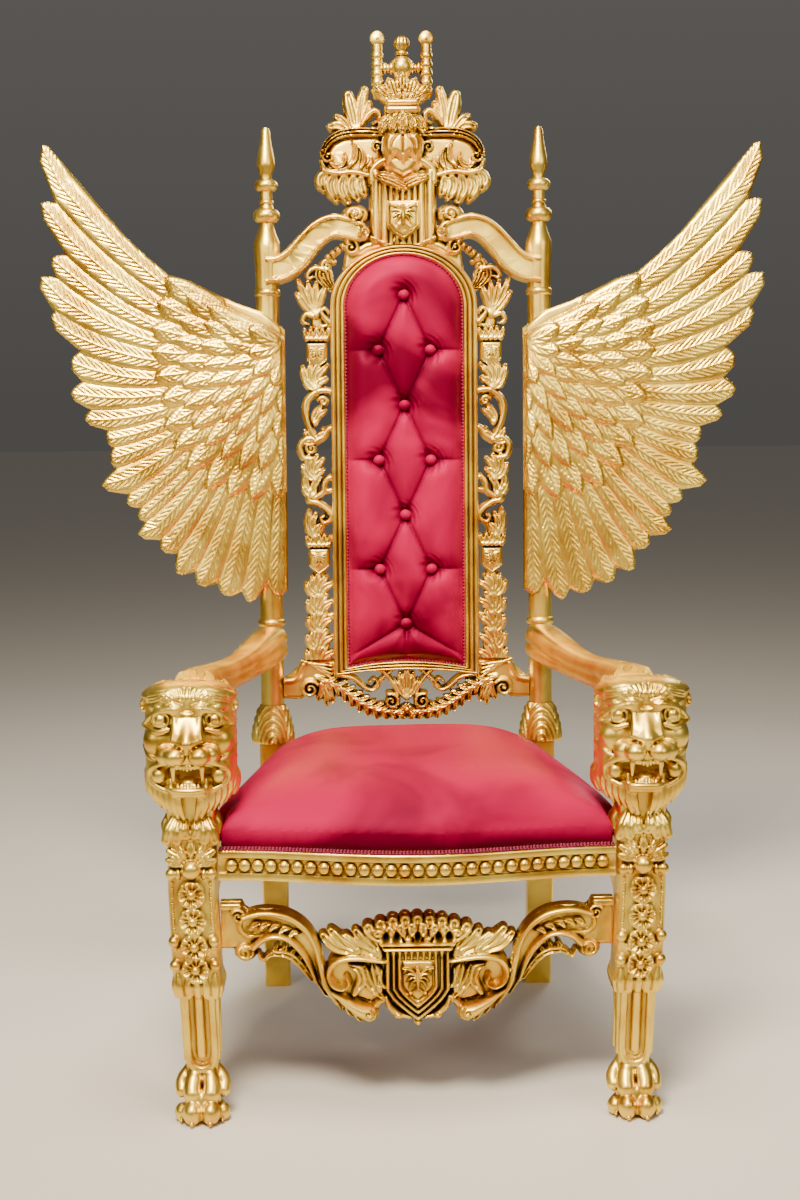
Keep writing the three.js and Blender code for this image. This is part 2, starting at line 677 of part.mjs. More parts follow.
// The seat's outline, drawn in by inset, as points that run round it from the front left corner: bowed in
// front between the legs, out over the side rails behind them, and in again between the posts
function seatOutline(inset, z) {
  const { frontHalf, sideHalf, rearHalf, neckHalf, rearY } = SEAT;
  const across = 6;
  const front = Array.from({ length: across + 1 }, (_, i) => {
    const x = frontHalf * ((2 * i) / across - 1);
    return [x, RAIL.endFront + 4 - (RAIL.bow - 4) * serpentine(x, frontHalf), 1];
  });
  const legBack = LEG.y + LEG.half + 4;
  const side = [
    [frontHalf, legBack, 0], [sideHalf, legBack + 8, 0], [rearHalf, rearY - 40, -0.3],
    [neckHalf, rearY - 32, -0.5], [neckHalf, rearY, -1],
  ];
  const mirror = side.map(([x, y, draw]) => [-x, y, draw]).reverse();
  return [...front, ...side, ...mirror].map(
    ([x, y, draw]) => new THREE.Vector3(x * (1 - inset / frontHalf), y + draw * inset, z),
  );
}

function seatCushion() {
  const base = RAIL.top + GAP;
  const levels = [[0, 0], [0, 0.12], [10, 0.42], [40, 0.72], [100, 0.94], [190, 1]];
  return loft(levels.map(([inset, rise]) => seatOutline(inset, base + rise * SEAT.crown)));
}

function seatBraid() {
  const radius = 3.4;
  const edge = seatOutline(-radius - GAP, RAIL.top + radius + GAP).slice(0, 7);
  const rings = edge.map((point) => easedRing(point, Y_AXIS, Z_AXIS, radius, radius));
  return loft(rings);
}

// Front stretcher: scrolled arms that meet at a crowned shield

function stretcher() {
  const { back, edge, ridge } = STRETCHER;
  const end = LEG.x - LEG.half - GAP;
  const middle = (back + edge) / 2;
  const arm = [[290, 300], [250, 316], [206, 314], [166, 288], [142, 244], [122, 198], [90, 164], [36, 160]];
  const leafOn = (a, b, tips) => fan(between(a, b), tips, { back: middle, edge, ridge: ridge - 2 });
  const half = [
    board([[end, 262], [end, 340], [268, 341], [262, 318], [276, 264]], back, edge),
    band(arm, [15, 15, 14, 14, 13, 12, 10, 8], back - 2, ridge),
    rib([[290, 256], [226, 272], [194, 256], [152, 212]], [12, 11, 10, 8], back - 4, edge),
    leafOn([152, 292], [142, 252], [[112, 306], [74, 316], [62, 282]]),
    rib([[40, 262], [96, 250], [112, 226], [96, 200]], [8, 11, 10, 8], back - 6, edge),
    leafOn([118, 216], [106, 184], [[44, 232], [44, 192]]),
    leafOn([128, 196], [98, 170], [[126, 160], [74, 140]]),
  ];
  const lobes = [-64, -22, 22, 64].map((x) => [x, 326 - Math.abs(x) * 0.22]);
  const centre = [
    plaque(shieldOutline(0, 50, 266, 190, 138), back - 8, ridge - 2, 0.86),
    plaque(shieldOutline(0, 33, 250, 194, 162), ridge + 2, ridge - 8),
    board([[-50, 262], [50, 262], [64, 282], [-64, 282]], back - 10, ridge - 5),
    fan(between([-58, 274], [58, 274]), lobes, { back: middle, edge: edge - 8, ridge: ridge - 6 }),
  ];
  return fuse([...bothSides(half), ...centre]);
}

// Assembly

function mesh(name, geometry, material) {
  const piece = new THREE.Mesh(geometry, material.clone());
  piece.name = name;
  return piece;
}

const chair = new THREE.Group();
const leaning = new THREE.Group();
leaning.position.set(0, POST.y, RAKE_PIVOT_Z);
leaning.rotation.x = -RAKE;
const back = new THREE.Group();
back.position.z = -RAKE_PIVOT_Z;
leaning.add(back);
chair.add(leaning);

const sideForms = { lion_leg: lionLeg(), back_post: backPost(), armrest: armrest(), side_rail: sideRail() };
const backSideForms = { wing: wing(), fretwork: fretwork() };
for (const [side, sign] of [["left", -1], ["right", 1]]) {
  for (const [parent, forms] of [[chair, sideForms], [back, backSideForms]]) {
    const hand = new THREE.Group();
    hand.scale.x = sign;
    for (const [name, form] of Object.entries(forms)) hand.add(mesh(`${name}_${side}`, form, GOLD));
    parent.add(hand);
  }
}

chair.add(
  mesh("front_rail", frontRail(), GOLD),
  mesh("back_rail", backRail(), GOLD),
  mesh("front_stretcher", stretcher(), GOLD),
  mesh("seat_cushion", seatCushion(), VELVET),
  mesh("seat_braid", seatBraid(), BRAID),
);
back.add(
  mesh("crest_rail", crestRail(), GOLD),
  mesh("panel_frame", panelFrame(), GOLD),
  mesh("lower_rail", lowerRail(), GOLD),
  mesh("back_pad", backPad(), VELVET),
  mesh("back_braid", backBraid(), BRAID),
);
buttonPlaces().forEach(([x, z], i) => {
  const piece = mesh(`tuft_button_${i + 1}`, button(), VELVET);
  piece.position.set(x, BUTTON.sink, z);
  back.add(piece);
});

export default chair;
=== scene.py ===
import math
import bpy
import numpy as np
from mathutils import Matrix, Vector
from mathutils.geometry import delaunay_2d_cdt


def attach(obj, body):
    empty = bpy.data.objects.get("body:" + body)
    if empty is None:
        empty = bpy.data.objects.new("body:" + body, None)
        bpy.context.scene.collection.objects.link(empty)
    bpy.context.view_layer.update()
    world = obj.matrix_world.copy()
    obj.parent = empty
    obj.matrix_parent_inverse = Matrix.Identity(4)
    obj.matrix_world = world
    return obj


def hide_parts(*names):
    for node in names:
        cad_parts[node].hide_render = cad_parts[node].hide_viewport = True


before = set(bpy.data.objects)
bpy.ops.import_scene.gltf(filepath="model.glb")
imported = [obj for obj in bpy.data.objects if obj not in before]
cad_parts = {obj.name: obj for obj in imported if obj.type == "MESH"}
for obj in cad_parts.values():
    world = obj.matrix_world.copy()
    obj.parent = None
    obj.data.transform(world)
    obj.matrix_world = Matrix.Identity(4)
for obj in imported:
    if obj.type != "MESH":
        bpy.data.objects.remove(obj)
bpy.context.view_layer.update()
print("frame loaded")

# Sizes are millimetres until a mesh is made. The chair faces -Y; pieces of the back are shaped upright,
# with y measured from the post's axis, and then leaned.
seeded = np.random.default_rng(11)
lean = math.radians(2)
pivotZ = 450
postX = 251
postY = 300
legX = 348


def leaned(points):
    y, z = points[:, 1], points[:, 2] - pivotZ
    turned = points.copy()
    turned[:, 1] = postY + y * math.cos(lean) + z * math.sin(lean)
    turned[:, 2] = pivotZ + z * math.cos(lean) - y * math.sin(lean)
    return turned


def smooth(value):
    value = np.clip(value, 0, 1)
    return value * value * (3 - 2 * value)


def spline(points, per=8):
    p = np.asarray(points, float)
    if len(p) == 2:
        return p[0] + (p[1] - p[0]) * np.linspace(0, 1, per + 1)[:, None]
    ends = np.vstack([2 * p[0] - p[1], p, 2 * p[-1] - p[-2]])
    t = np.linspace(0, 1, per, endpoint=False)[:, None]
    runs = [
        0.5 * (2 * b + (c - a) * t + (2 * a - 5 * b + 4 * c - d) * t**2 + (3 * b - a - 3 * c + d) * t**3)
        for a, b, c, d in zip(ends[:-3], ends[1:-2], ends[2:-1], ends[3:])
    ]
    return np.vstack([*runs, p[-1:]])


def runLength(path):
    return np.r_[0, np.cumsum(np.linalg.norm(np.diff(path, axis=0), axis=1))]


def pointAt(line, share):
    run = runLength(line) / runLength(line)[-1]
    return np.array([np.interp(share, run, line[:, k]) for k in range(line.shape[1])]).T


# Cross-sections of carved strokes: u runs -1 to 1 across, s along in mm, t along 0 to 1, d across in mm

def roundShape(u, s, t, d):
    return np.sqrt(np.maximum(0, 1 - u * u))


def reedShape(count):
    wave = np.cos if count % 2 else np.sin

    def shape(u, s, t, d):
        return (0.6 + 0.4 * np.abs(wave(u * count * math.pi / 2))) * np.sqrt(np.maximum(0, 1 - u**8))

    return shape


def leafShape(u, s, t, d):
    hollow = 0.24 * np.exp(-((u / 0.3) ** 2)) * smooth((t - 0.08) * 5)
    return np.sqrt(np.maximum(0, 1 - np.abs(u) ** 3)) * (1 - hollow - 0.18 * smooth(t * 4 - 3.1))


def fanShape(u, s, t, d):
    return np.sqrt(np.maximum(0, 1 - np.abs(u) ** 4)) * (0.74 + 0.26 * np.abs(np.cos(u * 2.5 * math.pi)))


def featherShape(u, s, t, d):
    # A gently domed vane with a fine quill and slanting barbs cut beside it
    barb = {"pitch": 13, "slant": 1.8, "width": 2.3}
    beat = (s - np.abs(d) * barb["slant"]) / barb["pitch"]
    cut = np.exp(-(((beat % 1 - 0.5) * barb["pitch"] / barb["width"]) ** 2))
    reach = 0.56 + 0.12 * np.sin(np.floor(beat) * 2.4)
    cut = cut * smooth((np.abs(d) - 1.2) / 1.2) * smooth((reach - np.abs(u)) / 0.12)
    quill = np.exp(-((d / 1.5) ** 2))
    return 0.8 * (1 - np.abs(u) ** 5) - 0.1 * cut + 0.06 * quill - 0.14 * u


def covertShape(u, s, t, d):
    return featherShape(u, s, t, d) + 0.8 * t


def trayShape(u, s, t, d):
    edge = smooth((np.abs(u) - 0.62) / 0.12)
    return 0.6 + 0.4 * edge * np.sqrt(np.maximum(0, 1 - ((np.abs(u) - 0.8) / 0.2).clip(0, 1) ** 2))


def curl(centre, radius, turns=1.4, start=0.0, hand=1, inner=0.18):
    angle = np.linspace(0, turns * 2 * math.pi, int(14 * turns) + 4)
    reach = radius * (1 - (1 - inner) * angle / angle[-1])
    return np.c_[
        centre[0] + reach * np.cos(start + hand * angle), centre[1] + reach * np.sin(start + hand * angle)
    ]


class Relief:
    # A carved board: a height over each point of its face, inside an outline, with a flat back
    corners = {
        1: ["a ab da"], 2: ["b bc ab"], 3: ["a b bc da"], 4: ["c cd bc"], 5: ["a ab da", "c cd bc"],
        6: ["b c cd ab"], 7: ["a b c cd da"], 8: ["d da cd"], 9: ["a ab cd d"], 10: ["b bc ab", "d da cd"],
        11: ["a b bc cd d"], 12: ["c d da bc"], 13: ["a ab bc c d"], 14: ["b c d da ab"], 15: ["a b c d"],
    }

    def __init__(self, low, high, step, back):
        self.step, self.back, self.swell, self.even = step, back, 0.0, False
        self.x = np.arange(low[0] - 2 * step, high[0] + 3 * step, step)
        self.z = np.arange(low[1] - 2 * step, high[1] + 3 * step, step)
        self.cover = np.full((len(self.z), len(self.x)), 1e3)
        self.height = np.full(self.cover.shape, back + 3.0)

    def window(self, points, margin):
        low, high = np.min(points, axis=0) - margin, np.max(points, axis=0) + margin
        cols = slice(*np.clip(np.searchsorted(self.x, [low[0], high[0]]), 0, len(self.x)))
        rows = slice(*np.clip(np.searchsorted(self.z, [low[1], high[1]]), 0, len(self.z)))
        return (rows, cols), self.x[cols][None, :], self.z[rows][:, None]

    def add(self, area, distance, height):
        self.cover[area] = np.minimum(self.cover[area], distance)
        level = self.height[area]
        self.height[area] = np.where(distance < self.step * 1.5, np.maximum(level, height), level)

    def near(self, path, halves, margin=0.0):
        path = np.asarray(path, float)
        run = runLength(path)
        half = np.interp(run / run[-1], np.linspace(0, 1, len(halves)), halves) + self.swell
        area, gx, gz = self.window(path, half.max() + margin + 3 * self.step)
        best = np.full((gz.shape[0], gx.shape[1]), 1e9)
        along, side, reach = np.zeros_like(best), np.zeros_like(best), np.ones_like(best)
        for i in range(len(path) - 1):
            (ax, az), (dx, dz) = path[i], path[i + 1] - path[i]
            t = np.clip(((gx - ax) * dx + (gz - az) * dz) / max(dx * dx + dz * dz, 1e-9), 0, 1)
            ex, ez = gx - ax - t * dx, gz - az - t * dz
            gap = np.hypot(ex, ez)
            width = half[i] + t * (half[i + 1] - half[i])
            closer = gap - width < best
            best = np.where(closer, gap - width, best)
            along = np.where(closer, run[i] + t * (run[i + 1] - run[i]), along)
            side = np.where(closer, np.copysign(gap, dx * ez - dz * ex), side)
            reach = np.where(closer, width, reach)
        return area, best, along, side, reach, run[-1]

    def stroke(self, points, halves, base, rise, shape=roundShape, straight=False):
        path = np.asarray(points, float) if straight else spline(points)
        area, best, along, side, reach, total = self.near(path, halves)
        u = np.clip(side / np.maximum(reach, 0.3), -1, 1)
        self.add(area, best, base + rise * shape(u, along, along / total, side))

    def groove(self, points, half, depth, straight=False):
        path = np.asarray(points, float) if straight else spline(points)
        area, best, along, side, reach, total = self.near(path, [half], 2 * half)
        self.height[area] -= depth * np.exp(-((side / half) ** 2)) * (best < 2 * half)

    def away(self, outline):
        p = np.asarray(outline, float)
        area, gx, gz = self.window(p, 4 * self.step)
        best = np.full((gz.shape[0], gx.shape[1]), 1e9)
        inside = np.zeros_like(best, bool)
        for (ax, az), (bx, bz) in zip(p, np.roll(p, -1, axis=0)):
            dx, dz = bx - ax, bz - az
            t = np.clip(((gx - ax) * dx + (gz - az) * dz) / max(dx * dx + dz * dz, 1e-9), 0, 1)
            best = np.minimum(best, np.hypot(gx - ax - t * dx, gz - az - t * dz))
            crosses = (az > gz) != (bz > gz)
            inside ^= crosses & (gx < ax + (gz - az) * dx / (dz if dz else 1e-9))
        return area, np.where(inside, -best, best)

    def plate(self, outline, base, rise, bevel):
        area, distance = self.away(outline)
        self.add(area, distance, base + rise * np.sqrt(smooth(-distance / bevel)))

    def bump(self, centre, half, base, rise):
        area, gx, gz = self.window(np.array([centre]), max(half) + 3 * self.step)
        reach = np.hypot((gx - centre[0]) / half[0], (gz - centre[1]) / half[1])
        self.add(area, (reach - 1) * min(half), base + rise * np.sqrt(np.maximum(0, 1 - reach**2)))

    def open(self, outline):
        area, distance = self.away(outline)
        self.cover[area] = np.maximum(self.cover[area], -distance)

    def shell(self):
        cover = self.cover
        cover[[0, -1]] = self.step
        cover[:, [0, -1]] = self.step
        cover[np.abs(cover) < 0.02 * self.step] = 0.02 * self.step
        inside = cover < 0
        gx, gz = np.meshgrid(self.x, self.z)
        points = [np.c_[gx[inside], -self.height[inside], gz[inside]]]
        corner = np.full(cover.shape, -1)
        corner[inside] = np.arange(inside.sum())
        count = inside.sum()
        edges = []
        for axis in (1, 0):
            first = (slice(None), slice(None, -1)) if axis else (slice(None, -1), slice(None))
            second = (slice(None), slice(1, None)) if axis else (slice(1, None), slice(None))
            cross = inside[first] != inside[second]
            t = np.clip(cover[first][cross] / (cover[first][cross] - cover[second][cross]), 0.05, 0.95)
            level = np.where(inside[first], self.height[first], self.height[second])[cross]
            if self.even:
                level = (1 - t) * self.height[first][cross] + t * self.height[second][cross]
            px = gx[first][cross] + (t * self.step if axis else 0)
            pz = gz[first][cross] + (0 if axis else t * self.step)
            index = np.full(cross.shape, -1)
            index[cross] = count + np.arange(cross.sum())
            count += cross.sum()
            points.append(np.c_[px, -np.maximum(level - 0.5, self.back + 1), pz])
            edges.append(index)
        points = np.vstack(points)
        flat, upright = edges
        token = {
            "a": corner[:-1, :-1], "b": corner[:-1, 1:], "c": corner[1:, 1:], "d": corner[1:, :-1],
            "ab": flat[:-1], "cd": flat[1:], "da": upright[:, :-1], "bc": upright[:, 1:],
        }
        code = sum(bit * (token[k] >= 0) for k, bit in zip("abcd", (1, 2, 4, 8)))
        faces, rim = [], []
        for case, outlines in self.corners.items():
            cells = code == case
            for names in (outline.split() for outline in outlines):
                faces += np.stack([token[n][cells] for n in names], axis=1).tolist()
                for n, m in zip(names, names[1:] + names[:1]):
                    if len(n) == 2 and len(m) == 2:
                        rim += zip(token[n][cells].tolist(), token[m][cells].tolist())
        order = {p: k for k, (p, _) in enumerate(rim)}
        border = [(order[p], order[q]) for p, q in rim]
        faces += [[q, p, len(points) + order[p], len(points) + order[q]] for p, q in rim]
        rear = points[list(order)].copy()
        rear[:, 1] = -self.back
        made = delaunay_2d_cdt([Vector((x, z)) for x, _, z in rear.tolist()], border, [], 1, 1e-7)
        tris = [[made[3][k][0] for k in tri] for tri in made[2]]
        owner = {(tri[k - 1], tri[k]): tri for tri in tris for k in range(3)}
        fixed = set(border)
        todo = [owner[pair] for pair in border]
        kept = {tuple(tri) for tri in todo}
        while todo:
            tri = todo.pop()
            for k in range(3):
                other = owner.get((tri[k], tri[k - 1]))
                if (tri[k - 1], tri[k]) not in fixed and other and tuple(other) not in kept:
                    kept.add(tuple(other))
                    todo.append(other)
        faces += [[len(points) + k for k in reversed(tri)] for tri in sorted(kept)]
        return np.vstack([points, rear]), faces


class Field:
    # A solid as signed distances on a grid, for carving in the round
    def __init__(self, low, high, step):
        self.low, self.step = np.array(low, float), step
        size = np.ceil((np.array(high) - self.low) / step).astype(int) + 1
        self.value = np.full(size, 60, np.float32)

    def window(self, low, high, margin):
        a = np.clip(np.floor((np.array(low) - margin - self.low) / self.step), 0, None).astype(int)
        b = np.clip(
            np.ceil((np.array(high) + margin - self.low) / self.step) + 1, 0, self.value.shape,
        ).astype(int)
        axes = [(self.low[k] + self.step * np.arange(a[k], b[k])).astype(np.float32) for k in range(3)]
        return tuple(slice(p, q) for p, q in zip(a, b)), np.meshgrid(*axes, indexing="ij", sparse=True)

    def put(self, area, distance, soft, cut):
        old = -self.value[area] if cut else self.value[area]
        share = np.clip(0.5 + 0.5 * (old - distance) / soft, 0, 1)
        new = old + share * (distance - old) - soft * share * (1 - share)
        self.value[area] = -new if cut else new

    def ball(self, centre, half, soft=3.0, cut=False):
        centre, half = np.array(centre, float), np.array(half, float)
        area, grid = self.window(centre - half, centre + half, soft + 3 * self.step)
        scaled = [(g - c) / h for g, c, h in zip(grid, centre, half)]
        near = np.sqrt(sum(s * s for s in scaled))
        slope = np.sqrt(sum((s / h) ** 2 for s, h in zip(scaled, half)))
        self.put(area, near * (near - 1) / np.maximum(slope, 1e-6), soft, cut)

    def strand(self, points, radii, soft=2.0, cut=False, per=4):
        path = spline(points, per)
        run = runLength(path)
        radius = np.interp(run / run[-1], np.linspace(0, 1, len(radii)), radii)
        area, grid = self.window(path.min(axis=0), path.max(axis=0), radius.max() + soft + 3 * self.step)
        best = np.float32(1e3)
        for i in range(len(path) - 1):
            a, d = path[i], path[i + 1] - path[i]
            t = np.clip(sum((g - p) * q for g, p, q in zip(grid, a, d)) / (d @ d), 0, 1)
            gap = np.sqrt(sum((g - p - t * q) ** 2 for g, p, q in zip(grid, a, d)))
            best = np.minimum(best, gap - radius[i] - t * (radius[i + 1] - radius[i]))
        self.put(area, best, soft, cut)

    def block(self, centre, half, ease=4.0, soft=3.0, cut=False):
        centre, half = np.array(centre, float), np.array(half, float)
        area, grid = self.window(centre - half, centre + half, soft + 3 * self.step)
        out = [np.abs(g - c) - h + ease for g, c, h in zip(grid, centre, half)]
        beyond = np.sqrt(sum(np.maximum(o, 0) ** 2 for o in out))
        within = np.minimum(np.maximum(np.maximum(out[0], out[1]), out[2]), 0)
        self.put(area, beyond + within - ease, soft, cut)

    def front(self, x, z):
        # Where the solid's front face stands, looked at from the front
        column = self.value[
            int(round((x - self.low[0]) / self.step)), :, int(round((z - self.low[2]) / self.step))
        ]
        j = max(int(np.argmax(column < 0)), 1)
        return self.low[1] + self.step * (j - column[j] / (column[j] - column[j - 1]))

    def net(self):
        # Values near nought are pushed off it, so that no face loses its area
        tiny = 0.06 * self.step
        value = self.value = np.where(
            self.value < 0, np.minimum(self.value, -tiny), np.maximum(self.value, tiny),
        )
        for axis in range(3):
            edge = np.moveaxis(value, axis, 0)
            edge[0] = np.maximum(edge[0], 0.4)
            edge[-1] = np.maximum(edge[-1], 0.4)
        inside = value < 0
        size = np.array(value.shape) - 1
        total, hits, crossings = np.zeros((*size, 3), np.float32), np.zeros(size, np.float32), []
        for axis in range(3):
            low = [slice(None)] * 3
            high = [slice(None)] * 3
            low[axis], high[axis] = slice(None, -1), slice(1, None)
            first, second = value[tuple(low)], value[tuple(high)]
            cross = inside[tuple(low)] != inside[tuple(high)]
            share = np.where(cross, first / np.where(cross, first - second, 1), 0)
            crossings.append((axis, cross, inside[tuple(low)]))
            others = [k for k in range(3) if k != axis]
            for p in (0, 1):
                for q in (0, 1):
                    part = [slice(None)] * 3
                    part[others[0]] = slice(p, p + size[others[0]])
                    part[others[1]] = slice(q, q + size[others[1]])
                    met = cross[tuple(part)]
                    hits += met
                    total[..., axis] += share[tuple(part)]
                    total[..., others[0]] += met * p
                    total[..., others[1]] += met * q
        active = hits > 0
        index = np.full(size, -1)
        index[active] = np.arange(active.sum())
        points = self.low + self.step * (np.argwhere(active) + total[active] / hits[active][:, None])
        faces = []
        for axis, cross, starts in crossings:
            u, v = (axis + 1) % 3, (axis + 2) % 3
            place = np.argwhere(cross)
            place = place[(place[:, u] > 0) & (place[:, v] > 0)]
            ring = []
            for du, dv in ((1, 1), (0, 1), (0, 0), (1, 0)):
                cell = place.copy()
                cell[:, u] -= du
                cell[:, v] -= dv
                ring.append(index[tuple(cell.T)])
            ring = np.stack(ring, axis=1)
            outward = starts[tuple(place.T)]
            faces.append(np.where(outward[:, None], ring, ring[:, ::-1]))
        return points, np.vstack(faces), np.argwhere(active)

    def shell(self):
        # Cells where two skins would meet in one edge are filled until none is left
        for _ in range(12):
            points, faces, cells = self.net()
            edges = np.sort(np.stack([faces, np.roll(faces, -1, 1)], 2).reshape(-1, 2), 1)
            _, back, count = np.unique(
                edges[:, 0] * len(points) + edges[:, 1], return_inverse=True, return_counts=True,
            )
            pinched = np.unique(edges[count[back] != 2])
            if not len(pinched):
                break
            for i, j, k in cells[pinched]:
                self.value[i:i + 2, j:j + 2, k:k + 2] -= 0.6 * self.step
        return points, faces.tolist()


def ringed(rings, closed=False):
    # A skin over rings of points, with flat ends unless it closes on itself
    n, m = rings.shape[:2]
    k = np.arange(m)
    faces = []
    for i in range(n if closed else n - 1):
        a, b = i * m, (i + 1) % n * m
        faces += np.stack([a + k, a + (k + 1) % m, b + (k + 1) % m, b + k], axis=1).tolist()
    if not closed:
        faces += [k[::-1].tolist(), (k + (n - 1) * m).tolist()]
    return rings.reshape(-1, 3), faces


def sweep(path, section, scale=None, up=(0, 0, 1)):
    # The section's points run anticlockwise, right and up, as seen from the far end of the path
    path, section = np.asarray(path, float), np.asarray(section, float)
    along = np.gradient(path, axis=0)
    along /= np.linalg.norm(along, axis=1)[:, None]
    right = np.cross(np.array(up, float), along)
    right /= np.linalg.norm(right, axis=1)[:, None]
    rise = np.cross(along, right)
    size = np.ones(len(path)) if scale is None else np.asarray(scale, float)
    offset = section[None] * size[:, None, None]
    return ringed(path[:, None] + right[:, None] * offset[..., :1] + rise[:, None] * offset[..., 1:])


def lathe(profile, x, y, sides=36, ripple=None):
    angle = np.linspace(0, 2 * math.pi, sides, endpoint=False)
    r, z = np.array(profile, float).T
    reach = np.repeat(r[:, None], sides, axis=1)
    level = np.repeat(z[:, None], sides, axis=1)
    if ripple:
        reach = reach + ripple(angle[None, :], level)
    return ringed(np.stack([x + reach * np.cos(angle), y + reach * np.sin(angle), level], axis=2))


def ellipsoid(centre, half, sides, rows):
    tilt = np.linspace(-math.pi / 2, math.pi / 2, rows + 1)
    tilt[0], tilt[-1] = tilt[0] + 0.08, tilt[-1] - 0.08
    profile = np.c_[np.cos(tilt), np.sin(tilt)]
    points, faces = lathe(profile, 0, 0, sides)
    return points * np.array(half, float) + np.array(centre, float), faces


def mirrored(shell):
    points, faces = shell
    return points * np.array([-1.0, 1.0, 1.0]), [face[::-1] for face in faces]


def moved(shell, change):
    return change(shell[0]), shell[1]


def linear(code):
    parts = [int(code[k:k + 2], 16) / 255 for k in (1, 3, 5)]
    return (*(v / 12.92 if v <= 0.04045 else ((v + 0.055) / 1.055) ** 2.4 for v in parts), 1.0)


def addNode(tree, kind, settings=None, values=None, links=None):
    node = tree.nodes.new(kind)
    for name, value in (settings or {}).items():
        setattr(node, name, value)
    for name, value in (values or {}).items():
        node.inputs[name].default_value = value
    for name, source in (links or {}).items():
        tree.links.new(source, node.inputs[name])
    return node


def newMaterial(name):
    material = bpy.data.materials.new(name)
    material.use_nodes = True
    material.node_tree.nodes.clear()
    return material, material.node_tree


def ramp(tree, source, stops):
    node = addNode(tree, "ShaderNodeValToRGB", links={"Fac": source})
    for k, (place, colour) in enumerate(stops):
        stop = node.color_ramp.elements[k] if k < 2 else node.color_ramp.elements.new(place)
        stop.position, stop.color = place, colour
    return node.outputs["Color"]


def goldLeaf():
    # Burnished leaf over a red-brown ground: the leaf's tone on open surfaces, and in the hollows a brown
    # glaze that also carries painted shade
    gold = {
        "high": "#ffdf62", "worn": "#e4b23e", "glazeAndShade": "#5e2e05", "shadeReachMm": 9, "cloudMm": 70,
        "grainMm": 2.2, "polish": (0.27, 0.43),
    }
    material, tree = newMaterial("goldLeaf")
    place = addNode(tree, "ShaderNodeNewGeometry").outputs["Position"]
    cloud = addNode(
        tree, "ShaderNodeTexNoise", values={"Scale": 1000 / gold["cloudMm"], "Detail": 4},
        links={"Vector": place},
    )
    grain = addNode(
        tree, "ShaderNodeTexNoise", values={"Scale": 1000 / gold["grainMm"], "Detail": 2},
        links={"Vector": place},
    )
    tone = ramp(tree, cloud.outputs["Fac"], [(0.35, linear(gold["worn"])), (0.62, linear(gold["high"]))])
    # Painted shade, together with the real glaze: ambient occlusion darkens the hollows towards the glaze
    # colour
    hollow = addNode(
        tree, "ShaderNodeAmbientOcclusion", {"samples": 6, "only_local": True},
        {"Distance": gold["shadeReachMm"] / 1000},
    )
    shade = ramp(
        tree, hollow.outputs["AO"],
        [(0.22, (0, 0, 0, 1)), (0.84, (1, 1, 1, 1)), (0.55, (0.42, 0.42, 0.42, 1))],
    )
    colour = addNode(tree, "ShaderNodeMix", {"data_type": "RGBA"}, links={"Factor": shade})
    colour.inputs[6].default_value = linear(gold["glazeAndShade"])
    tree.links.new(tone, colour.inputs[7])
    polish = addNode(
        tree, "ShaderNodeMapRange", values=dict(zip(("To Min", "To Max"), gold["polish"])),
        links={"Value": cloud.outputs["Fac"]},
    )
    bump = addNode(
        tree, "ShaderNodeBump", values={"Strength": 0.12, "Distance": 0.0004},
        links={"Height": grain.outputs["Fac"]},
    )
    links = {"Base Color": colour.outputs[2], "Roughness": polish.outputs[0], "Normal": bump.outputs[0]}
    shader = addNode(tree, "ShaderNodeBsdfPrincipled", values={"Metallic": 1.0}, links=links)
    addNode(tree, "ShaderNodeOutputMaterial", links={"Surface": shader.outputs[0]})
    return material


def silkVelvet():
    # Cut pile: painted shade making the hollows deep red to near black, a pink lustre where it faces the
    # light, painted top light on upward-facing pile, brushed in soft patches
    pile = {
        "hollow": "#2a0007", "deep": "#56001a", "brushedAndTopLit": "#a2003e", "bloom": "#ff1f6e", "lustre": "#ff4488",
        "shadeReachMm": 40, "patchMm": 190, "pileMm": 1.1, "paintedTopLight": 0.2,
    }
    material, tree = newMaterial("silkVelvet")
    geometry = addNode(tree, "ShaderNodeNewGeometry")
    place = geometry.outputs["Position"]
    patch = addNode(
        tree, "ShaderNodeTexNoise", values={"Scale": 1000 / pile["patchMm"], "Detail": 3, "Distortion": 0.6},
        links={"Vector": place},
    )
    fibre = addNode(
        tree, "ShaderNodeTexNoise", values={"Scale": 1000 / pile["pileMm"], "Detail": 2},
        links={"Vector": place},
    )
    # Painted top light: pile whose normal faces up is pushed towards the lighter colour, pile facing down
    # towards the darker one
    upward = addNode(tree, "ShaderNodeSeparateXYZ", links={"Vector": geometry.outputs["Normal"]}).outputs["Z"]
    paintedTopLight = addNode(
        tree, "ShaderNodeMath", {"operation": "MULTIPLY_ADD"}, {1: pile["paintedTopLight"]},
        {0: upward, 2: patch.outputs["Fac"]},
    )
    tone = ramp(tree, paintedTopLight.outputs[0], [(0.4, linear(pile["deep"])), (0.68, linear(pile["brushedAndTopLit"]))])
    # Painted shade: ambient occlusion darkens the hollows and folds towards the near-black hollow colour
    hollow = addNode(
        tree, "ShaderNodeAmbientOcclusion", {"samples": 8, "only_local": True},
        {"Distance": pile["shadeReachMm"] / 1000},
    )
    shade = ramp(tree, hollow.outputs["AO"], [(0.58, (0, 0, 0, 1)), (0.98, (1, 1, 1, 1))])
    colour = addNode(tree, "ShaderNodeMix", {"data_type": "RGBA"}, links={"Factor": shade})
    colour.inputs[6].default_value = linear(pile["hollow"])
    tree.links.new(tone, colour.inputs[7])
    bump = addNode(
        tree, "ShaderNodeBump", values={"Strength": 0.25, "Distance": 0.0006},
        links={"Height": fibre.outputs["Fac"]},
    )
    values = {
        "Roughness": 0.46, "IOR": 1.45, "Sheen Weight": 0.4, "Sheen Roughness": 0.3,
        "Specular IOR Level": 0.35,
    }
    values |= {"Sheen Tint": linear(pile["bloom"]), "Specular Tint": linear(pile["lustre"])}
    shader = addNode(
        tree, "ShaderNodeBsdfPrincipled", values=values,
        links={"Base Color": colour.outputs[2], "Normal": bump.outputs[0]},
    )
    addNode(tree, "ShaderNodeOutputMaterial", links={"Surface": shader.outputs[0]})
    return material


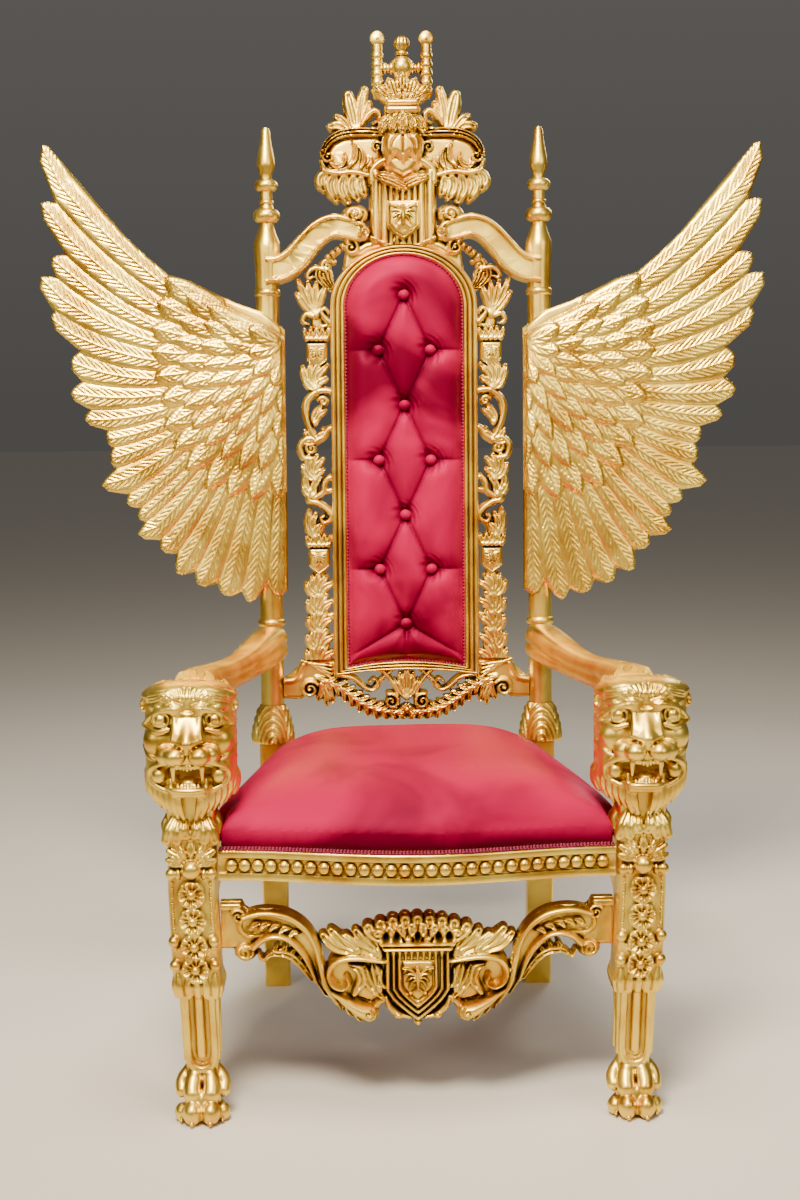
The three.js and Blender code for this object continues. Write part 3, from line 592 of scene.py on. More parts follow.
def rayonGimp():
    # Twisted rayon gimp, wine red, each strand with a soft lustre
    thread = {"dark": "#5c0a26", "light": "#a01c4c", "plyMm": 1.6}
    material, tree = newMaterial("rayonGimp")
    place = addNode(tree, "ShaderNodeNewGeometry").outputs["Position"]
    ply = addNode(
        tree, "ShaderNodeTexNoise", values={"Scale": 1000 / thread["plyMm"], "Detail": 2},
        links={"Vector": place},
    )
    tone = ramp(tree, ply.outputs["Fac"], [(0.35, linear(thread["dark"])), (0.65, linear(thread["light"]))])
    values = {"Roughness": 0.75, "IOR": 1.47, "Sheen Weight": 0.1, "Specular IOR Level": 0.2}
    shader = addNode(tree, "ShaderNodeBsdfPrincipled", values=values, links={"Base Color": tone})
    addNode(tree, "ShaderNodeOutputMaterial", links={"Surface": shader.outputs[0]})
    return material


finishes = {"gilding": goldLeaf(), "velvet": silkVelvet(), "braid": rayonGimp()}


def addPiece(name, shells, finish, nodes, sharp=42, keep=1.0):
    points = np.vstack([p for p, _ in shells]) / 1000
    faces, offset = [], 0
    for p, f in shells:
        faces += [[k + offset for k in face] for face in f] if offset else f
        offset += len(p)
    mesh = bpy.data.meshes.new(name)
    mesh.from_pydata(points.tolist(), [], faces)
    piece = bpy.data.objects.new(name, mesh)
    bpy.context.scene.collection.objects.link(piece)
    if keep < 1:
        thin = piece.modifiers.new("thin", "DECIMATE")
        thin.ratio = keep
        piece.data = bpy.data.meshes.new_from_object(
            piece.evaluated_get(bpy.context.evaluated_depsgraph_get())
        )
        piece.modifiers.remove(thin)
    piece.data.shade_smooth()
    piece.data.set_sharp_from_angle(angle=math.radians(sharp))
    piece.data.materials.append(finishes[finish])
    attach(piece, "root")
    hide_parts(*nodes)
    return piece


def addPair(name, shells, finish, node, sharp=42, keep=1.0):
    addPiece(name + "Right", shells, finish, [node + "_right"], sharp, keep)
    addPiece(name + "Left", [mirrored(s) for s in shells], finish, [node + "_left"], sharp, keep)


# Wings

def wingShell():
    wing = {
        "shoulder": (226, 1225), "inner": 219, "back": 18, "step": 1.35,
        "lead": [
            (216, 1250), (260, 1284), (307, 1301), (353, 1322), (388, 1340), (429, 1352), (469, 1386),
            (509, 1424),
            (555, 1479), (594, 1526), (623, 1560), (644, 1585),
        ],
        "tips": [
            (656, 1588), (660, 1483), (642, 1384), (663, 1350), (646, 1276), (611, 1195), (613, 1138),
            (588, 1090),
            (548, 1056), (542, 1022), (560, 970), (514, 937), (494, 914), (495, 880), (453, 852), (424, 806),
            (384, 784), (336, 764), (290, 750), (236, 762),
        ],
        "notches": [
            (634, 1484), (617, 1391), (634, 1349), (640, 1286), (595, 1216), (592, 1160), (578, 1108),
            (548, 1070),
            (538, 1038), (534, 1000), (511, 952), (490, 926), (481, 900), (453, 867), (425, 841), (391, 808),
            (350, 786), (304, 770), (257, 786), (219, 772),
        ],
        "roots": [(428, 1352), (452, 1270), (452, 1180), (426, 1050), (345, 955), (219, 950)],
        "rows": [(1.0, 13, 1.0), (0.81, 12, 0.95), (0.62, 10, 0.95), (0.44, 7, 0.9), (0.26, 4, 0.9)],
    }
    relief = Relief((216, 740), (672, 1600), wing["step"], wing["back"])
    shoulder = np.array(wing["shoulder"], float)
    tips, ends = np.array(wing["tips"], float), np.array([wing["lead"][-1], *wing["notches"]], float)
    outline = [np.array(wing["lead"])]
    for k, tip in enumerate(tips):
        sides = []
        for end in (ends[k], ends[k + 1]):
            out = (tip - shoulder) / np.hypot(*(tip - shoulder))
            sides.append((end + tip) / 2 + 0.16 * np.hypot(*(tip - end)) * out + 0.1 * (tip - end))
        outline.append(np.array([ends[k], sides[0], tip, sides[1]]))
    outline.append(np.array([[219, 772], [216, 772]]))
    outline = np.vstack(outline)
    rootLine = spline(wing["roots"], 16)
    gaps = np.hypot(*np.diff(ends, axis=0).T)
    shares = np.r_[0, np.cumsum(0.45 / len(gaps) + 0.55 * gaps / gaps.sum())]
    roots = pointAt(rootLine, shares)
    edges = []
    for root, end in zip(roots, ends):
        out = (root - shoulder) / np.hypot(*(root - shoulder))
        bow = (root + end) / 2 * 0.6 + 0.4 * (root + 0.5 * np.hypot(*(end - root)) * out)
        t = np.linspace(0, 1, 13)[:, None]
        line = (1 - t) ** 2 * root + 2 * t * (1 - t) * bow + t**2 * end
        edges.append(np.vstack([root + 0.16 * (shoulder - root), line]))
    relief.height[:] = 25
    for k in reversed(range(len(tips))):
        centre = (edges[k] + edges[k + 1]) / 2
        wide = np.hypot(*(edges[k] - edges[k + 1]).T) * 0.55 + 2
        heading = tips[k] - centre[-3]
        centre = np.vstack([centre[:-1], tips[k] + 8 * heading / np.hypot(*heading)])
        shareOf = runLength(centre) / runLength(centre)[-1]
        halves = np.interp(np.linspace(0, 1, 24), shareOf, np.clip(wide, 12, 31))
        relief.stroke(centre, halves, 24, 11, featherShape, True)
    for row, (reach, count, size) in enumerate(wing["rows"]):
        line = shoulder + reach * (rootLine - shoulder)
        half = size * 0.58 * runLength(line)[-1] / count
        for k in reversed(range(count)):
            t = (k + (0.5 if row % 2 else 0.2)) / (count - 0.4)
            tip = pointAt(line, min(t, 1)) + seeded.uniform(-3, 3, 2)
            start = shoulder + max(0.02, reach - 0.42) * (pointAt(rootLine, min(t, 1)) - shoulder)
            across = tip - start
            bow = (start + tip) / 2 + 0.07 * np.array([across[1], -across[0]])
            halves = [half * w for w in (0.7, 0.85, 0.97, 1.0, 1.0, 0.9, 0.62, 0.15)]
            relief.stroke([start, bow, tip], halves, 28 + 2.6 * row, 8, covertShape)
    area, distance = relief.away(outline)
    relief.cover[:] = 1e3
    relief.cover[area] = distance
    relief.cover = np.maximum(relief.cover, wing["inner"] - relief.x[None, :])
    ease = np.clip(1 + relief.cover / 7, 0, 1)
    relief.height -= 5 * (1 - np.sqrt(1 - ease**2))
    turn = np.clip((252 - relief.x) / 33, 0, 1)
    relief.height -= 16 * (1 - np.sqrt(1 - turn**2))[None, :]
    relief.height = np.maximum(relief.height, wing["back"] - 10)
    return moved(relief.shell(), leaned)


addPair("wing", [wingShell()], "gilding", "wing", 60, 0.5)
print("wings")


# Back posts

def bead(z, radius, tall, neck):
    angle = np.linspace(-math.pi / 2, math.pi / 2, 7)
    return [(neck + (radius - neck) * math.cos(a), z + tall / 2 * math.sin(a)) for a in angle]


def postShells():
    post = {"radius": 21.5, "half": 24, "capPitch": 15}
    r = post["radius"]
    profile = [
        (r, 540), *bead(710, r + 4, 14, r), (r, 724), (r, 1308), *bead(1320, r + 3, 13, r), (r, 1330),
        (r + 1.5, 1385),
        (r + 3, 1402), (r + 2, 1414), (17, 1430), (13.5, 1443), *bead(1461, 25, 26, 14),
        *bead(1485, 14, 8, 11.5),
        (11.5, 1497), *bead(1516, 22, 22, 11.5), (11, 1534), (13, 1541), (16.5, 1549), (17, 1556), (15, 1570),
        (11, 1590),
        (9, 1606), (8, 1616), (5, 1621), (1, 1622),
    ]
    column = moved(lathe(profile, postX, 0, 40), leaned)

    def arches(angle, z):
        turn = (angle + math.pi / 4) % (math.pi / 2) - math.pi / 4
        ring = np.hypot(40 * turn * 1.6, z - 486)
        return (3.6 * np.abs(np.cos(math.pi * ring / post["capPitch"])) - 2) * smooth((z - 485) / 4)

    levels = [
        (24, 556), (28, 549), (31, 540), (34, 530), (36.5, 520), (38.5, 510), (39.5, 500), (39.5, 492),
        (39, 486), (27, 485),
    ]
    filled = pointAt(np.array(levels[::-1], float), np.linspace(0, 1, 52))
    cap = moved(lathe(filled, postX, 0, 120, arches), leaned)
    h = post["half"]
    section = [
        (-h, 3 - h), (3 - h, -h), (h - 3, -h), (h, 3 - h), (h, h - 3), (h - 3, h), (3 - h, h), (-h, h - 3),
    ]
    foot = spline(
        [(postX, 370.3, 0), (postX, 336, 110), (postX, 310, 240), (postX, 300, 360), (postX, 300, 490)], 5,
    )
    rings = np.array([[(px + a, py + b, pz) for a, b in section] for px, py, pz in foot])
    return [column, cap, ringed(rings)]


addPair("backPost", postShells(), "gilding", "back_post")
print("posts")


# Panel frame, buttoned pad, buttons and braid

def archLoop(half, spring, rise, foot, sag, inset=0.0):
    h = half - inset
    across = np.linspace(-1, 1, 24, endpoint=False)
    bottom = np.c_[across * h, foot + inset + sag / 2 * (1 - across**2)]
    side = np.linspace(0, 1, 30, endpoint=False)[:, None]
    right = np.array([h, foot + inset]) + side * np.array([0, spring - foot - inset])
    angle = np.linspace(0, math.pi, 48, endpoint=False)
    arch = np.c_[h * np.cos(angle), spring + (rise - inset) * np.sin(angle)]
    left = np.array([-h, spring]) + side * np.array([0, foot + inset - spring])
    return np.vstack([bottom, right, arch, left])


def frameShell():
    frameSize = {
        "outer": (135, 1295, 110, 612, 18), "inner": (108.3, 1292, 95.3, 626.7, 24), "reeds": 3, "low": 22,
        "high": 27,
    }
    outer, inner = archLoop(*frameSize["outer"]), archLoop(*frameSize["inner"])
    share = np.linspace(0.02, 0.98, 31)
    reed = np.abs(np.sin(frameSize["reeds"] * math.pi * share)) ** 0.8
    level = frameSize["low"] + (frameSize["high"] - frameSize["low"]) * reed
    level -= 3 * share
    section = [(0, -14), (0, frameSize["low"]), *zip(share, level), (1, frameSize["low"] - 2), (1, -14)]
    rings = [
        [(a[0] + w * (b[0] - a[0]), -h, a[1] + w * (b[1] - a[1])) for w, h in section]
        for a, b in zip(outer, inner)
    ]
    return moved(ringed(np.array(rings)[:, ::-1], closed=True), leaned)


addPiece("panelFrame", [frameShell()], "gilding", ["panel_frame"])

panelSize = (108, 1292, 95, 627, 24)
frameClear = (135.3, 1295, 110.3)  # the frame with 0.3 mm round it
tufts = {"top": 1313, "lowest": 708.2, "pitch": 100.8, "rows": 7, "side": 48}
buttonPlaces = [
    (x, tufts["top"] - tufts["pitch"] * row)
    for row in range(tufts["rows"])
    for x in ((-tufts["side"], tufts["side"]) if row % 2 else (0,))
]


def padShell():
    # Velvet drawn down by the buttons, with folds pressed along the diamonds between them
    pad = {
        "rim": 15, "crown": 25, "shoulder": 42, "fold": 7.0, "foldWidth": 3.2, "valley": 5.0, "draw": 12.5,
        "drawWidth": 18,
    }
    relief = Relief((-110, 625), (110, 1390), 2.1, -8)
    outline = archLoop(*panelSize)
    area, distance = relief.away(outline)
    relief.cover[area] = distance
    x, z = np.meshgrid(relief.x, relief.z)
    folds = []
    for bx, bz in buttonPlaces:
        folds += [((bx, bz), (cx, cz)) for cx, cz in buttonPlaces if abs(cz - bz + tufts["pitch"]) < 1]
        if bx:
            folds.append(((bx, bz), (math.copysign(112, bx), bz)))
    folds += [((0, tufts["lowest"]), end) for end in ((0, 630), (108, 645), (-108, 645))]
    crease = np.full(x.shape, 1e3)
    for (ax, az), (bx, bz) in folds:
        dx, dz = bx - ax, bz - az
        t = np.clip(((x - ax) * dx + (z - az) * dz) / (dx * dx + dz * dz), 0, 1)
        crease = np.minimum(crease, np.hypot(x - ax - t * dx, z - az - t * dz))
    button = np.min([np.hypot(x - bx, z - bz) for bx, bz in buttonPlaces], axis=0)
    rim = np.full(x.shape, 1.0)
    rim[area] = distance
    edge = 1 - (1 - np.clip(-rim / pad["shoulder"], 0, 1)) ** 2.4
    drop = pad["fold"] * np.exp(-crease / pad["foldWidth"]) * (0.6 + 0.4 * np.exp(-button / 26))
    drop += pad["valley"] * np.exp(-((crease / 17) ** 2))
    drop += pad["draw"] * np.exp(-((button / pad["drawWidth"]) ** 2))
    pucker = 0.7 * np.exp(-(((button - 19) / 9) ** 2)) * np.cos(button * 0.4 + 0.35 * x + 0.22 * z)
    relief.height = pad["rim"] + (pad["crown"] - drop + pucker) * edge
    relief.height -= 1.6 * np.exp(-((rim + 7) / 3) ** 2)
    return moved(relief.shell(), leaned)


addPiece("backPad", [padShell()], "velvet", ["back_pad"], 180, 0.5)

for number, (bx, bz) in enumerate(buttonPlaces):
    dome = [(10.5 * math.cos(a), 26 + 8 * math.sin(a)) for a in np.linspace(0, 1.5, 8)]
    points, faces = lathe([(5, 11), (9, 22), *dome], 0, 0, 20)
    upright = np.c_[bx + points[:, 0], -points[:, 2], bz + points[:, 1]]
    addPiece(
        f"tuftButton{number + 1}", [(leaned(upright), faces)], "velvet", [f"tuft_button_{number + 1}"], 80,
    )


def braidShells(path, facing, width, pitch):
    # Two rows of slanted loops laid along the path, meeting in a chevron
    run = runLength(path)
    shells = []
    for k in range(int(run[-1] / pitch)):
        s = (k + 0.5) * pitch
        place = np.array([np.interp(s, run, path[:, j]) for j in range(3)])
        ahead = np.array([np.interp(min(s + 1, run[-1]), run, path[:, j]) for j in range(3)])
        along = (ahead - place) / max(np.linalg.norm(ahead - place), 1e-6)
        across = np.cross(along, facing)
        across /= np.linalg.norm(across)
        for side in (-1, 1):
            long = 0.75 * along + 0.66 * side * across
            out = np.array(facing, float)
            wide = np.cross(out, long)
            points, faces = ellipsoid((0, 0, 0), (1, 1, 1), 6, 4)
            body = points[:, :1] * wide * pitch * 0.36 + points[:, 1:2] * out * width * 0.2
            body = body + points[:, 2:] * long * width * 0.36
            shells.append((place + side * across * width * 0.22 + body, faces))
    return shells


loop = archLoop(*panelSize, inset=-1.4)
loop = np.vstack([loop, loop[:1]])
gimp = np.c_[loop[:, 0], np.full(len(loop), -19.6), loop[:, 1]]
addPiece(
    "backBraid", [moved(s, leaned) for s in braidShells(gimp, (0, -1, 0), 6.6, 6.5)], "braid", ["back_braid"],
    180,
)
print("panel")


# Seat

def serpentine(x, half):
    return np.cos(x / half * math.pi) * 0.5 + 0.5


def cushionShell():
    seat = {"base": 428.3, "crown": 118, "step": 4.0, "reach": 190, "wall": 6}
    x = np.linspace(-305, 305, 61)
    front = np.c_[x, -324 - 44 * serpentine(x, 305)]
    side = [(305, -262), (318, -256), (322, -246), (252, 248), (240, 258), (209, 262), (205, 268), (203, 290)]
    outline = np.vstack([front, side, [(-a, b) for a, b in reversed(side)]])
    relief = Relief((-324, -370), (324, 294), seat["step"], seat["base"])
    relief.even = True
    area, distance = relief.away(outline)
    relief.cover[area] = distance
    inward = np.full(relief.cover.shape, -50.0)
    inward[area] = -distance
    gx, gy = np.meshgrid(relief.x, relief.z)
    plump = np.sqrt(1 - (1 - np.clip((inward + seat["wall"]) / (seat["reach"] + seat["wall"]), 0, 1)) ** 2.4)
    for _ in range(140):
        even = (
            np.roll(plump, 1, 0) + np.roll(plump, -1, 0) + np.roll(plump, 1, 1) + np.roll(plump, -1, 1)
        ) / 4
        plump += smooth((inward - 8) / 60) * (even - plump)
    sag = 2.2 * np.sin(gx / 71 + 0.8) * np.sin(gy / 63) * smooth(inward / 80)
    relief.height = seat["base"] + 0.985 * seat["crown"] * plump + sag
    points, faces = relief.shell()
    return np.c_[points[:, 0], points[:, 2], -points[:, 1]], faces


addPiece("seatCushion", [cushionShell()], "velvet", ["seat_cushion"], 180, 0.65)

railFront = np.linspace(-307, 307, 90)
gimp = np.c_[railFront, -329 - 44 * serpentine(railFront, 307), np.full(90, 432.4)]
addPiece("seatBraid", braidShells(gimp, (0, -0.8, 0.6), 7.2, 5.4), "braid", ["seat_braid"], 180)


def frontRailShells():
    rail = {"half": 309.7, "top": 428, "bottom": 381, "thick": 32, "bow": 48, "front": -328, "pearls": 29}
    top, bottom = rail["top"], rail["bottom"]
    half = rail["half"]
    fillet = [(1.5, 0), (0.3, 1.5), (0, 4), (0, 8.5), (0.6, 11), (2.5, 12.2), (4.8, 12.8), (5.4, 14.5)]
    upper = [(y, top - d) for y, d in fillet]
    lower = [(y, bottom + d) for y, d in reversed(fillet)]
    section = [(rail["thick"], top), *upper, *lower, (rail["thick"], bottom)]
    x = np.linspace(-half, half, 81)
    front = rail["front"] - rail["bow"] * serpentine(x, half)
    rings = np.array([[(px, fy + y, z) for y, z in section] for px, fy in zip(x, front)])
    shells = [ringed(rings)]
    for k in range(rail["pearls"]):
        px = ((k + 0.5) / rail["pearls"] - 0.5) * 2 * (half - 10)
        fy = rail["front"] - rail["bow"] * serpentine(px, half)
        shells.append(ellipsoid((px, fy + 5.5, (top + bottom) / 2), (10.1, 9.4, 10.1), 18, 10))
    return shells


addPiece("frontRail", frontRailShells(), "gilding", ["front_rail"])


def sideRailShell():
    rail = {"front": -261.7, "rear": 274.7, "top": 428, "bottom": 381, "half": 16}
    curve = [(rail["front"] + 86 * t, 319 + 62 * (1 - (1 - t) ** 2.2)) for t in np.linspace(0, 1, 12)]
    outline = [
        (rail["front"], rail["top"]), *curve, (rail["rear"], rail["bottom"]), (rail["rear"], rail["top"]),
    ]
    relief = Relief((rail["front"], 315), (rail["rear"], rail["top"]), 2.5, -rail["half"])
    relief.plate(outline, 10, 5, 5)
    relief.groove([(rail["front"], 416), (rail["rear"], 416)], 2.5, 2.5)
    relief.groove([(rail["front"] + 84, 393), (rail["rear"], 393)], 2.5, 2.5)
    points, faces = relief.shell()
    slope = (legX - 14 - postX) / (rail["rear"] - rail["front"])
    return np.c_[
        -points[:, 1] + legX - 14 - slope * (points[:, 0] - rail["front"]), points[:, 0], points[:, 2]
    ], faces


addPair("sideRail", [sideRailShell()], "gilding", "side_rail")
backRail = [(-2, -22), (2, -22), (16, -20), (16, 20), (14, 22.5), (-14, 22.5), (-16, 20), (-16, -20)]
bar = np.array([(-225.7, 300, 404.5), (0, 300, 404.5), (225.7, 300, 404.5)])
addPiece("backRail", [sweep(bar, backRail)], "gilding", ["back_rail"])
print("seat")


# Arms

def armShells():
    arm = {"wide": 29, "tall": 28, "locks": 11}
    path = spline([(postX + 1, 277, 674), (296, 60, 660), (336, -120, 662), (legX, -240, 668)], 16)
    share = runLength(path) / runLength(path)[-1]
    size = 1 + 0.14 * np.cos(2 * math.pi * share)
    angle = np.linspace(0, 2 * math.pi, 48, endpoint=False)
    reach = (np.abs(np.cos(angle)) ** 3.2 + np.abs(np.sin(angle)) ** 3.2) ** (-1 / 3.2)
    reach -= 0.09 * np.exp(-(((np.abs(np.cos(angle)) - 1) / 0.02) ** 2))
    section = np.c_[arm["wide"] * reach * np.cos(angle), arm["tall"] * reach * np.sin(angle)]
    shells = [sweep(path, section, size)]
    along = np.gradient(path, axis=0)
    right = np.cross((0, 0, 1), along)
    right /= np.linalg.norm(right, axis=1)[:, None]
    ring = [(math.cos(a), math.sin(a)) for a in np.linspace(0, 2 * math.pi, 8, endpoint=False)]
    for k in range(arm["locks"]):
        a = math.radians(-14 + 208 * k / (arm["locks"] - 1))
        out = (abs(math.cos(a)) ** 3.2 + abs(math.sin(a)) ** 3.2) ** (-1 / 3.2) - 0.16
        rows = np.arange(len(path) - 1, len(path) - 13 - k % 3 * 3, -1)
        wave = 0.09 * np.sin(np.arange(len(rows)) * 0.7 + k)
        offset = right[rows] * (arm["wide"] * out * np.cos(a + wave) * size[rows])[:, None]
        offset[:, 2] += arm["tall"] * out * np.sin(a + wave) * size[rows]
        shells.append(sweep(path[rows] + offset, ring, np.linspace(6.0, 2.0, len(rows))))
    return shells


addPair("armrest", armShells(), "gilding", "armrest")
print("arms")


def flipped(points):
    return [(-x, z) for x, z in points]


def twice(relief, points, *form):
    relief.stroke(points, *form)
    relief.stroke(flipped(points), *form)


def plateTwice(relief, outline, *form):
    relief.plate(outline, *form)
    relief.plate(flipped(outline)[::-1], *form)


def spray(relief, root, tips, half, base, rise, bend=0.12, hands=(1, -1)):
    # Leaves from one root to each tip, each bowed to one side
    for tip in tips:
        across = np.subtract(tip, root)
        middle = np.add(root, tip) / 2 + bend * np.array([across[1], -across[0]])
        long = np.hypot(*across)
        halves = [half * w for w in (0.5, 0.85, 1.0, 0.95, 0.5)]
        for hand in hands:
            path = np.array([root, middle, tip]) * np.array([hand, 1])
            relief.stroke(path, halves, base - 0.02 * long, rise, leafShape)


def scroll(relief, centre, radius, turns, start, hand, half, base, rise, hands=(1, -1)):
    path = curl(centre, radius, turns, start, hand)
    for side in hands:
        relief.stroke(
            path * np.array([side, 1]), [half, half * 0.9, half * 0.6], base, rise, roundShape, True,
        )
        relief.bump((side * centre[0], centre[1]), (radius * 0.3, radius * 0.3), base, rise)


def shieldOutline(x, half, top, shoulder, point):
    bend = [(half * s, shoulder + (point - shoulder) * (1 - abs(s)) ** 0.75) for s in np.linspace(1, -1, 11)]
    return [(x - half, top), *[(x + dx, z) for dx, z in reversed(bend)], (x + half, top)]


def displayedBird(relief, x, z, size, base, rise):
    relief.stroke(
        [(x, z + 0.62 * size), (x, z), (x, z - 0.5 * size)], [0.13 * size, 0.2 * size, 0.1 * size], base,
        rise,
    )
    relief.bump((x - 0.05 * size, z + 0.72 * size), (0.15 * size, 0.14 * size), base, rise)
    for hand in (-1, 1):
        for k in range(4):
            tip = (x + hand * (0.95 - 0.13 * k) * size, z + (0.75 - 0.42 * k) * size)
            start = (x + hand * 0.12 * size, z + (0.4 - 0.12 * k) * size)
            middle = ((start[0] + tip[0]) / 2, (start[1] + tip[1]) / 2 + 0.12 * size)
            relief.stroke([start, middle, tip], [0.1 * size, 0.12 * size, 0.05 * size], base, rise * 0.8)
        relief.stroke(
            [(x, z - 0.45 * size), (x + hand * 0.42 * size, z - 0.85 * size)], [0.08 * size, 0.12 * size],
            base, rise * 0.7,
        )


def shieldForm(relief, x, half, top, shoulder, point, base, rise):
    outline = np.array(shieldOutline(x, half, top, shoulder, point))
    relief.plate(outline, base, rise, 3)
    middle = np.array([x, (top + shoulder) / 2])
    inner = middle + (outline - middle) * 0.86
    relief.groove(np.vstack([inner, inner[:1]]), 1.6, 3, True)


def coronet(relief, x, z, half, tall, points, base, rise):
    relief.stroke([(x - half * 0.86, z), (x + half * 0.86, z)], [tall * 0.12], base, rise)
    for k in range(points):
        share = k / (points - 1) * 2 - 1
        tip = (x + half * 1.06 * share, z + tall * (1 - 0.2 * abs(share)))
        wide = half / points * 1.15
        relief.stroke(
            [(x + half * 0.8 * share, z), tip], [wide, wide * 1.1, wide * 0.35], base, rise, leafShape,
        )


# Pierced strips beside the panel

def fretworkShell():
    fret = {"x": 161, "back": -8, "step": 1.2, "shields": (1228, 848), "ties": (1376, 1262, 1072, 958, 726)}
    relief = Relief((98, 634), (202, 1418), fret["step"], fret["back"])
    relief.swell = 1.3
    x = fret["x"]

    def leafy(root, tips, half=7.0, base=6.0, rise=14.0, bend=0.14):
        spray(relief, root, tips, half, base, rise, bend, (1,))

    def stem(points, halves, base=4.0, rise=15.0, shape=roundShape):
        relief.stroke(points, halves, base, rise, shape)

    stem([(100, 1407), (118, 1396), (136, 1380), (150, 1368)], [2, 2, 3, 4], 2, 8)
    for k in range(5):
        relief.bump((102 + 9 * k, 1410 - 6.6 * k), (6.5, 6.5), 10, 18)
    scroll(relief, (141, 1368), 11, 1.2, 2.2, -1, 4, 5, 13, (1,))
    stem([(134, 1330), (144, 1344), (152, 1364)], [7, 12, 17, 6], 4, 14, reedShape(5))
    stem([(146, 1362), (164, 1364), (176, 1354), (174, 1345), (167, 1348)], [4, 5, 5, 4, 3])
    leafy((160, 1276), [(146, 1328), (160, 1338), (176, 1338), (193, 1342), (196, 1318)], 7.5, 6, 14, 0.05)
    stem([(160, 1292), (160, 1240)], [12, 8], 0, 10)
    stem([(128, 1262), (140, 1268), (152, 1284), (146, 1290), (140, 1284)], [4, 5, 5, 4, 3])
    stem([(166, 1276), (180, 1280), (186, 1268), (178, 1262)], [5, 5, 4, 3])
    for top in fret["shields"]:
        coronet(relief, x, top + 7, 21, 22, 5, 6, 14)
        shieldForm(relief, x, 20, top + 2, top - 32, top - 48, 4, 13)
        displayedBird(relief, x, top - 20, 13, 14, 7)
    leafy((163, 1142), [(142, 1186), (156, 1192), (172, 1190), (187, 1184), (184, 1162), (144, 1162)])
    stem([(161, 1182), (162, 1150), (163, 1134)], [10, 12, 7], 2, 12)
    stem(
        [(128, 1134), (142, 1140), (162, 1138), (180, 1122), (183, 1096), (173, 1066), (164, 1050)],
        [5, 6, 6, 6, 5, 6, 7],
    )
    leafy((166, 1078), [(146, 1104), (154, 1112), (162, 1100)], 6)
    scroll(relief, (150, 1120), 9, 1.1, 0.5, 1, 4, 4, 13, (1,))
    stem([(127, 1072), (140, 1070), (150, 1056), (163, 1048)], [5, 5, 6, 7])
    leafy((164, 1046), [(146, 1062), (184, 1066), (190, 1048)], 6)
    stem([(163, 1048), (180, 1052), (193, 1038), (188, 1018), (172, 1014)], [6, 6, 6, 6, 6])
    scroll(relief, (173, 1034), 10, 1.2, 0.6, -1, 4, 4, 13, (1,))
    leafy((166, 974), [(152, 1014), (164, 1020), (178, 1020), (188, 1002), (152, 994)])
    leafy((170, 944), [(184, 986), (188, 966), (158, 980)])
    stem([(168, 1016), (168, 980), (171, 944)], [7, 9, 7], 2, 11)
    stem([(127, 974), (140, 980), (150, 968), (152, 954), (166, 942)], [5, 5, 5, 5, 6])
    stem(
        [(176, 956), (178, 938), (160, 932), (142, 918), (138, 904), (150, 896), (157, 904), (151, 909)],
        [6, 6, 6, 6, 6, 5, 4, 3],
    )
    leafy((168, 868), [(166, 912), (178, 920), (181, 898), (158, 892)])
    stem([(150, 898), (160, 884), (161, 862)], [6, 8, 8], 2, 12)
    for k, (z, half) in enumerate(((778, 24), (744, 22), (712, 21), (678, 23), (650, 25))):
        leafy(
            (x, z - 22),
            [
                (x - half, z + 6), (x - half * 0.55, z + 18), (x, z + 24), (x + half * 0.55, z + 18),
                (x + half, z + 6),
            ],
            7.5, 4 + k, 14,
        )
    stem([(x, 812), (x, 640)], [10, 12, 10, 12, 10], 0, 10)
    for z in fret["ties"]:
        stem([(128, z), (150, z - 4)], [4, 5], 0, 10)
    relief.cover = np.maximum(relief.cover, 641.3 - relief.z[:, None])
    relief.open(archLoop(*frameClear, 612, 18))
    return moved(relief.shell(), leaned)


addPair("fretwork", [fretworkShell()], "gilding", "fretwork", 42, 0.75)


